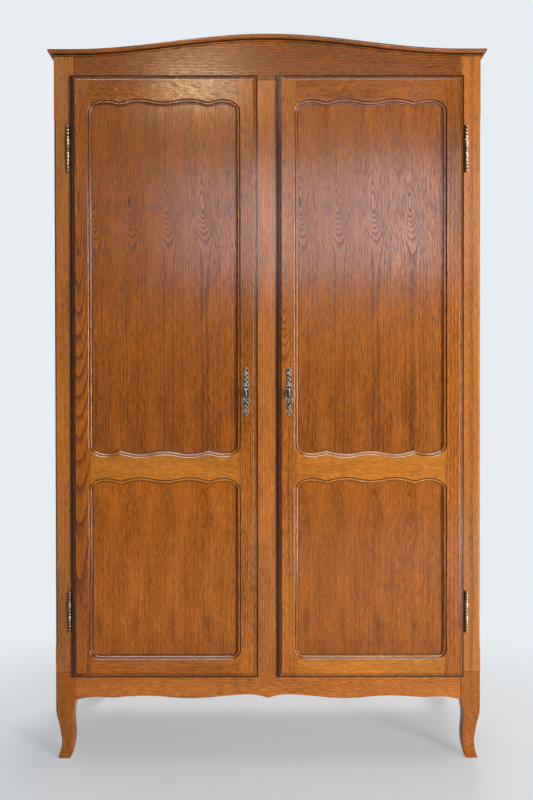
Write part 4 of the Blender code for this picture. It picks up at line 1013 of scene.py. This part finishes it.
def apron_outline():
    """Closed (x, z) outline: the scalloped lower edge, then the straight top."""
    edge = [(0.0, 0.001)]
    for share, rise, way in APRON_EDGE:
        edge += run(edge[-1], (share, rise), straight, way)
    half = POST_INNER - FIT
    trough = BASE_HEIGHT - APRON_HEIGHT
    right = [(half * share, trough + rise) for share, rise in edge]
    left = [(-x, z) for x, z in reversed(right[1:])]
    return left + right + [(half, BASE_HEIGHT), (-half, BASE_HEIGHT)]


left_leg = model_leg()
right_leg = mirrored(left_leg, "right_front_leg_cabriole")
fit(left_leg, "carcass", leg_oak, "lacquered_oak", "left_front_leg")
fit(right_leg, "carcass", leg_oak, "lacquered_oak", "right_front_leg")
apron = thick_sheet("apron_scalloped", [(x, FRONT, z) for x, z in apron_outline()], BOARD_BACK - FRONT)
carve(apron, block("groove", *grown(*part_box("floor_board"))))
ease(apron, width=0.0012, segments=3)
fit(apron, "carcass", apron_oak, "lacquered_oak", "apron")


# Plain boards: the frame's own shapes with eased arrises
BOARDS = {"centre_stile": centre_oak, "rear_crown_rail": apron_oak, "rear_base_rail": apron_oak}
for side in ("left", "right"):
    for node in ("frieze_block", "front_post", "rear_post"):
        BOARDS[f"{side}_{node}"] = post_oak
    for node in ("crown_rail", "base_rail"):
        BOARDS[f"{side}_{node}"] = depth_oak
for node, finish in BOARDS.items():
    board = eased_copy(node)
    if node.endswith("front_post"):
        # pockets that give the hinge barrels room beside the doors
        flip = 1 if node.startswith("left") else -1
        near, far = sorted((flip * (HINGE_EDGE - POCKET_OUTSIDE), flip * (HINGE_EDGE + POCKET_UNDER_DOOR)))
        for joint, length in HINGES.values():
            carve(board, block("pocket", (near, FRONT - MARGIN, joint - length / 2),
                               (far, FRONT + POCKET_DEPTH, joint + length / 2)))
    fit(board, "carcass", finish, "lacquered_oak", node)
for node, finish in (("hat_shelf", shelf_oak), ("left_shelf_bearer", depth_oak), ("right_shelf_bearer", depth_oak),
                     ("floor_board", shelf_oak), ("roof_board", shelf_oak)):
    fit(eased_copy(node, width=0.0012), "carcass", finish, "inside_oak", node)


# Panels keep the frame's shape
for node, finish in (("left_door_upper_panel", left_veneer), ("left_door_lower_panel", left_lower_veneer),
                     ("right_door_upper_panel", right_veneer), ("right_door_lower_panel", right_lower_veneer),
                     ("left_side_panel", side_veneer), ("right_side_panel", side_veneer), ("back_panel", inside_oak)):
    panel = frame["nodes"][node]
    panel.data.materials.clear()
    panel.data.materials.append(finish)


# Hanging rail

def model_rail():
    """Tube, open at its ends."""
    wall, bore = 0.0012, 0.02
    low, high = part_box("hanging_rail")
    middle = (low + high) / 2
    radius = (high.z - low.z) / 2
    bpy.ops.object.select_all(action="DESELECT")
    bpy.ops.mesh.primitive_cylinder_add(vertices=48, radius=radius, depth=high.x - low.x, location=middle,
                                        rotation=(0.0, math.pi / 2, 0.0))
    piece = take_over("hanging_rail_tube")
    edit_faces(piece, lambda face: abs(face.normal.x) > 0.9)
    bpy.ops.mesh.inset(thickness=wall, use_individual=True)
    bpy.ops.mesh.extrude_faces_move(TRANSFORM_OT_shrink_fatten={"value": -bore})
    close_edit()
    ease(piece, width=0.0004)
    return piece


fit(model_rail(), "carcass", rail_brass, "aged_brass", "hanging_rail")


# Hinges

def hinge_profile(length):
    """Half of a hinge above its joint, tip first: a finial of beads, an olive, and a neck with a collar."""
    olive_top, olive_bottom = 0.027, 0.009
    beads, groove, first_bead, growth, bead_share = 4, 0.0017, 0.0031, 0.0002, 0.36
    neck, collar = 0.0027, 0.0035
    pitch = (length / 2 - olive_top) / beads
    points = [(0.0, length / 2)]
    for i in range(beads):
        radius = first_bead + growth * i
        peak = length / 2 - (i + 0.5) * pitch
        for j in range(-3, 4):
            angle = math.pi / 2 * j / 3
            points.append((groove + (radius - groove) * math.cos(angle), peak - bead_share * pitch * math.sin(angle)))
    for share, radius in ((1.0, 0.0020), (0.95, 0.0028), (0.86, 0.0037), (0.72, 0.0042), (0.5, 0.0043),
                          (0.28, 0.0042), (0.14, 0.0037), (0.05, 0.0029), (0.0, neck)):
        points.append((radius, olive_bottom + (olive_top - olive_bottom) * share))
    points += [(neck, 0.0066), (collar, 0.0060), (collar, 0.0034), (neck, 0.0028), (neck, FIT / 2)]
    return points


def model_hinge(level):
    """Both halves of a left hinge: the door's, bored from below, and the post's with the pin; each has its leaf."""
    joint, length = HINGES[level]
    half = hinge_profile(length)
    bore = [(BORE_RADIUS, FIT / 2), (BORE_RADIUS, BORE_LENGTH), (0.0, BORE_LENGTH)]
    pin = [(0.0, PIN_LENGTH), (PIN_RADIUS - PIN_CHAMFER, PIN_LENGTH), (PIN_RADIUS, PIN_LENGTH - PIN_CHAMFER),
           (PIN_RADIUS, -FIT / 2)]
    below = [(radius, -height) for radius, height in reversed(half)]
    place = (HINGE_AXIS, HINGE_AXIS_Y, joint)
    door_half = lathe(f"left_{level}_hinge_door_half_turned", half + bore, *place)
    post_half = lathe(f"left_{level}_hinge_post_half_turned", pin + below, *place)
    for piece, (low, high) in zip((door_half, post_half), hinge_leaf(level)):
        flap = block("leaf", low, high)
        ease(flap, width=0.0003)
        carve(piece, flap, "UNION")
    return door_half, post_half


for level in HINGES:
    door_half, post_half = model_hinge(level)
    for piece, name, left_body, right_body in (
            (door_half, f"{level}_hinge_door_half", "left_door", "right_door"),
            (post_half, f"{level}_hinge_post_half", "carcass", "carcass")):
        copy = mirrored(piece, f"right_{name}_turned")
        fit(piece, left_body, brass, "aged_brass", f"left_{name}")
        fit(copy, right_body, brass, "aged_brass", f"right_{name}")


# Locks

# Outline of the escutcheon from its tip down: height over the key, half width
ESCUTCHEON_EDGE = [
    (0.0735, 0.0010), (0.0700, 0.0028), (0.0645, 0.0068), (0.0580, 0.0070), (0.0520, 0.0064), (0.0437, 0.0048),
    (0.0380, 0.0062), (0.0328, 0.0080), (0.0240, 0.0074), (0.0156, 0.0082), (0.0060, 0.0088), (-0.0030, 0.0082),
    (-0.0110, 0.0078), (-0.0186, 0.0088), (-0.0270, 0.0074), (-0.0355, 0.0040), (-0.0410, 0.0052), (-0.0454, 0.0066),
    (-0.0538, 0.0062), (-0.0585, 0.0030), (-0.0610, 0.0012),
]
# Its rim from the edge inwards: steps and rises
RIM_SECTION = [(0.00035, 0.0005), (0.00035, 0.0), (0.0003, -0.0012)]
# Scrolls of its right half: height over the key, distance from the middle, radius, turns, first angle, wire
SCROLLS = [
    ("scroll", 0.0580, 0.0036, 0.0050, 0.85, 2.2, 0.0009),
    ("scroll", 0.0250, 0.0046, 0.0062, 0.95, 1.7, 0.0011),
    ("scroll", -0.0170, 0.0046, 0.0064, 0.95, -1.8, 0.0011),
    ("scroll", -0.0470, 0.0034, 0.0048, 0.85, -2.3, 0.0009),
    ("hood", 0.0100, -0.0005, 0.0068, 0.23, 0.15, 0.0013),
]
# Plaits of leaves: how many, distance from the middle, height of the first, pitch, length and radius of a leaf
PLAITS = [(7, 0.0019, 0.0625, 0.0062, 0.0088, 0.0013), (4, 0.0013, -0.0330, 0.0056, 0.0070, 0.0012)]


def scroll(name, centre_z, across, radius, turns, start, wire, flip):
    """C-scroll of tapering wire that curls on the plate."""
    bpy.ops.object.select_all(action="DESELECT")
    bpy.ops.curve.primitive_nurbs_path_add()
    path = bpy.context.object
    curve = path.data
    curve.splines.remove(curve.splines[0])
    spline = curve.splines.new("POLY")
    last, curl = 25, 0.72
    spline.points.add(last)
    for i, point in enumerate(spline.points):
        t = i / last
        angle = start + turns * 2 * math.pi * t
        reach = radius * (1 - curl * t)
        point.co = (KEY_X + flip * (across + reach * math.cos(angle)), DOOR_FACE - RELIEF_HEIGHT,
                    KEY_Z + centre_z + reach * math.sin(angle), 1.0)
        # thinner towards both ends
        point.radius = 0.55 + 0.45 * math.sin(math.pi * min(1.0, 0.15 + t))
    curve.bevel_depth = wire
    curve.bevel_resolution = 3
    curve.use_fill_caps = True
    select_only(path)
    bpy.ops.object.convert(target="MESH")
    piece = take_over(name)
    bpy.ops.object.mode_set(mode="EDIT")
    close_edit()
    return piece


def pin_head(name, z, radius):
    """Round-headed pin that holds the plate."""
    dome, stem, sink = radius * 0.9, radius * 0.7, radius * 0.25
    profile = [(0.0, dome)]
    for i in range(1, 6):
        angle = math.pi / 2 * i / 5
        profile.append((radius * math.sin(angle), dome * math.cos(angle)))
    profile += [(stem, -sink), (0.0, -sink)]
    piece = lathe(name, profile, 0.0, 0.0, 0.0, steps=16)
    piece.rotation_euler = (math.pi / 2, 0.0, 0.0)
    piece.location = (KEY_X, DOOR_FACE - RELIEF_HEIGHT, KEY_Z + z)
    return take_over(name, piece)


def leaf(name, x, z, length, radius, turn):
    """Small cast leaf that lies on the plate, turned from the upright."""
    profile = [(radius * math.sin(math.pi * i / 10), length / 2 * math.cos(math.pi * i / 10)) for i in range(11)]
    profile[0], profile[-1] = (0.0, length / 2), (0.0, -length / 2)
    piece = lathe(name, profile, 0.0, 0.0, 0.0, steps=14)
    piece.rotation_euler = (0.0, turn, 0.0)
    piece.location = (KEY_X + x, DOOR_FACE - CAST_LEAF_BED, KEY_Z + z)
    return take_over(name, piece)


def model_escutcheon():
    """Cast rocaille plate: a sunk keyhole under a hood, C-scrolls, plaited leaves and two pins."""
    edge = smooth_through(ESCUTCHEON_EDGE, steps=4)
    outline = [(KEY_X - half, KEY_Z + height) for height, half in edge]
    outline += [(KEY_X + half, KEY_Z + height) for height, half in reversed(edge)]
    plate = sheet("left_escutcheon_rocaille", [(x, DOOR_FACE - FIT, z) for x, z in outline])
    edit_faces(plate, lambda face: True)
    draw_out(y=-PLATE_THICKNESS)
    for step, rise in RIM_SECTION:
        bpy.ops.mesh.inset(thickness=step, depth=rise, use_even_offset=True)
    close_edit()
    carve(plate, keyhole("keyhole", DOOR_FACE - MARGIN, DOOR_FACE + MARGIN))
    # an oval sinking round the keyhole, with its middle a little over the key
    half_width, half_height, over = 0.0046, 0.0138, 0.0024
    bpy.ops.object.select_all(action="DESELECT")
    bpy.ops.mesh.primitive_cylinder_add(vertices=36, radius=1.0, depth=0.004,
                                        location=(KEY_X, DOOR_FACE - 0.0026, KEY_Z + over),
                                        rotation=(math.pi / 2, 0.0, 0.0), scale=(half_width, half_height, 1.0))
    carve(plate, take_over("sinking"))
    pieces = [pin_head("pin", height, PIN_HEAD_RADIUS) for height in (0.0700, -0.0570)]
    for flip in (-1, 1):
        pieces += [scroll(*shape, flip) for shape in SCROLLS]
    for count, across, first, pitch, length, radius in PLAITS:
        for i in range(count):
            side = 1 if i % 2 else -1
            pieces.append(leaf("leaf", side * across, first - pitch * i, length, radius, side * CAST_LEAF_TURN))
    # one long leaf under the keyhole
    pieces.append(leaf("leaf", 0.0004, -0.0215, 0.0170, 0.0012, -0.55))
    return join(plate, *pieces)


def model_key():
    """Key with an oval bow in the upright plane, a collared shank and a notched bit."""
    low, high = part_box("left_key")
    bow_length, bow_height, wire = 0.024, 0.030, 0.0022
    bow_y = low.y + bow_length / 2
    bpy.ops.object.select_all(action="DESELECT")
    bpy.ops.mesh.primitive_torus_add(major_segments=48, minor_segments=14, major_radius=bow_height / 2 - wire,
                                     minor_radius=wire, location=(KEY_X, bow_y, KEY_Z),
                                     rotation=(0.0, math.pi / 2, 0.0))
    bow = take_over("left_key_forged")
    bpy.ops.object.mode_set(mode="EDIT")
    bpy.ops.mesh.select_all(action="SELECT")
    bpy.ops.transform.resize(value=(1.0, bow_length / bow_height, 1.0), center_override=(KEY_X, bow_y, KEY_Z))
    close_edit()
    start = low.y + bow_length - 0.0012
    length = high.y - start
    profile = [(0.0, 0.0), (0.0026, 0.0), (0.0036, 0.0006), (0.0036, 0.0018), (0.0028, 0.0024), (0.0028, 0.0034),
               (0.0037, 0.0040), (0.0037, 0.0052), (SHANK_RADIUS, 0.0058), (SHANK_RADIUS, length - 0.0008),
               (0.0024, length), (0.0, length)]
    shank = lathe("shank", [(radius, -along) for radius, along in profile], 0.0, 0.0, 0.0, steps=24)
    shank.rotation_euler = (math.pi / 2, 0.0, 0.0)
    shank.location = (KEY_X, start, KEY_Z)
    take_over("shank", shank)
    # the bit, inside the lock case, with one notch for a ward
    bit_low, bit_high, bit_half, bit_drop = FRONT + 0.0156, FRONT + 0.0216, 0.00125, 0.011
    bit = block("bit", (KEY_X - bit_half, bit_low, KEY_Z - bit_drop), (KEY_X + bit_half, bit_high, KEY_Z))
    carve(bit, block("ward", (KEY_X - 0.003, bit_low + 0.0022, KEY_Z - 0.012),
                     (KEY_X + 0.003, bit_low + 0.0034, KEY_Z - 0.0072)))
    ease(bit, width=0.0002)
    carve(bow, shank, "UNION")
    carve(bow, bit, "UNION")
    return bow


def screw_head(name, x, y, z):
    """Slotted countersunk screw, its head flush with a plate that faces +Y."""
    profile = [(0.0, 0.0004), (0.0014, 0.0003), (0.0019, 0.0), (0.0019, -0.0004), (0.0, -0.0004)]
    piece = lathe(name, profile, 0.0, 0.0, 0.0, steps=20)
    carve(piece, block("slot", (-0.003, -0.0002, 0.0001), (0.003, 0.0002, 0.001)))
    piece.rotation_euler = (-math.pi / 2, 0.0, 0.0)
    piece.location = (x, y, z)
    return take_over(name, piece)


def model_lock():
    """Case with a screw in each corner, and its bolt."""
    case = eased_copy("left_lock_case", width=0.0004)
    low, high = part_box("left_lock_case")
    screws = [screw_head("screw", x, high.y, z) for x in (low.x + SCREW_INSET, high.x - SCREW_INSET)
              for z in (low.z + SCREW_INSET, high.z - SCREW_INSET)]
    return join(case, *screws), eased_copy("left_lock_bolt", width=0.0005)


escutcheon = model_escutcheon()
key = model_key()
lock_case, lock_bolt = model_lock()
for piece, node, body, finish, slot in ((escutcheon, "escutcheon", "door", pewter, "antique_pewter"),
                                        (key, "key", "key", key_steel, "antique_pewter"),
                                        (lock_case, "lock_case", "door", lock_steel, "lock_steel"),
                                        (lock_bolt, "lock_bolt", "bolt", lock_steel, "lock_steel")):
    copy = mirrored(piece, f"right_{node}_made")
    fit(piece, f"left_{body}", finish, slot, f"left_{node}")
    fit(copy, f"right_{body}", finish, slot, f"right_{node}")


# Studio: pale floor and surround, soft lamps at the right and behind, and lamps that show as gleams in the lacquer

PALE = "#EDF3F8"
BACKDROP_GLOW = 0.95
SURROUND_LIGHT = 0.14
GLOSSY_SHARE = 0.08


def backdrop_rays(tree):
    """1 for the rays that are to see the pale backdrop: camera and transmission rays, and dimmer glossy rays."""
    path = add(tree, "LightPath").node
    seen = add(tree, "Math", {"operation": "MULTIPLY_ADD"},
               {0: path.outputs["Is Glossy Ray"], 1: GLOSSY_SHARE, 2: path.outputs["Is Camera Ray"]})
    return add(tree, "Math", {"operation": "MAXIMUM"}, {0: seen, 1: path.outputs["Is Transmission Ray"]})


def make_floor():
    """Painted floor that runs out into the backdrop's colour from near the feet outwards."""
    fade_from, fade_to = 0.45, 1.6
    bpy.ops.object.select_all(action="DESELECT")
    bpy.ops.mesh.primitive_plane_add(size=40.0, location=(0.0, 0.0, 0.0))
    floor = take_over("studio_floor")
    material, tree, shader = new_material("studio_floor_paint")
    where = add(tree, "TexCoord", output="Object")
    speckle = add(tree, "TexNoise", inputs={"Vector": where, "Scale": 3.0, "Detail": 2.0})
    colour = add(tree, "Mix", COLOURS, {0: speckle, 6: linear("#E4E7E9"), 7: linear("#EBEDEF")}, output=2)
    tree.links.new(colour, shader.inputs["Base Color"])
    shader.inputs["Roughness"].default_value = 0.7
    away = add(tree, "VectorMath", {"operation": "LENGTH"}, {0: where}, output="Value")
    away = add(tree, "MapRange", SMOOTH, {0: away, 1: fade_from, 2: fade_to, 3: 0.4, 4: 1.0})
    share = add(tree, "Math", {"operation": "MULTIPLY"}, {0: away, 1: backdrop_rays(tree)})
    glow = add(tree, "Emission", inputs={"Color": linear(PALE), "Strength": BACKDROP_GLOW})
    mixed = add(tree, "MixShader", inputs={0: share, 1: shader.outputs[0], 2: glow})
    tree.links.new(mixed, tree.nodes["Material Output"].inputs["Surface"])
    floor.data.materials.append(material)


def make_surround():
    """World that looks pale to the camera and lights the shadows softly."""
    world = bpy.data.worlds.new("studio_surround")
    bpy.context.scene.world = world
    world.use_nodes = True
    tree = world.node_tree
    strength = add(tree, "MapRange", inputs={0: backdrop_rays(tree), 3: SURROUND_LIGHT, 4: BACKDROP_GLOW})
    background = tree.nodes["Background"]
    background.inputs["Color"].default_value = linear(PALE)
    tree.links.new(strength, background.inputs["Strength"])


def make_lamp(name, place, target, width, height, power, colour, lights=True, shows=True):
    """Area lamp, which lights what is matt, shows as a reflection in what is glossy, or both."""
    lamp = bpy.data.lights.new(name, "AREA")
    lamp.shape = "RECTANGLE"
    lamp.size = width
    lamp.size_y = height
    lamp.energy = power
    lamp.color = linear(colour)[:3]
    holder = bpy.data.objects.new(name, lamp)
    bpy.context.scene.collection.objects.link(holder)
    holder.location = place
    holder.rotation_euler = (Vector(target) - Vector(place)).to_track_quat("-Z", "Y").to_euler()
    holder.visible_diffuse = lights
    holder.visible_glossy = shows


make_floor()
make_surround()
make_lamp("right_window", (3.0, -4.1, 0.7), (0.0, -0.2, 0.8), 1.4, 1.8, 285.0, "#FFFFFF", shows=False)
make_lamp("back_window", (0.8, 4.2, 3.4), (0.0, 0.2, 1.1), 2.4, 1.8, 190.0, "#FFFFFF", shows=False)
make_lamp("right_gleam", (2.4, -0.85, 1.1), (-0.3, -0.28, 1.1), 1.1, 2.2, 250.0, "#FFE6CE", lights=False)
make_lamp("top_gleam", (0.0, -0.9, 3.6), (0.0, -0.3, 0.8), 2.4, 1.2, 320.0, "#FFFFFF", lights=False)
make_lamp("window_glare", (0.0, -3.697, 2.08), (-0.48, -0.297, 1.5), 1.24, 0.72, 11.4, "#CFE8FF", lights=False)
make_lamp("window_glare_right", (0.885, -3.571, 2.08), (0.405, -0.171, 1.5), 0.53, 0.72, 8.4, "#CFE8FF",
          lights=False)
make_lamp("ceiling_glare", (-0.41, -3.6, 2.93), (-0.18, -0.2, 1.84), 0.45, 0.16, 7.0, "#FFE6B8", lights=False)

# Camera, nearly square-on, at about half the height
EYE = (-0.003, FRONT - 2.6, 1.0182)
TILT_DOWN = 0.6
ROLL = 0.08
camera = bpy.data.cameras.new("photo_view")
camera.sensor_fit = "VERTICAL"
camera.sensor_height = 36.0
camera.lens = 42.55
viewer = bpy.data.objects.new("photo_view", camera)
bpy.context.scene.collection.objects.link(viewer)
viewer.location = EYE
viewer.rotation_euler = (math.radians(90 - TILT_DOWN), math.radians(ROLL), 0.0)
bpy.context.scene.camera = viewer
bpy.context.scene.view_settings.view_transform = "Standard"
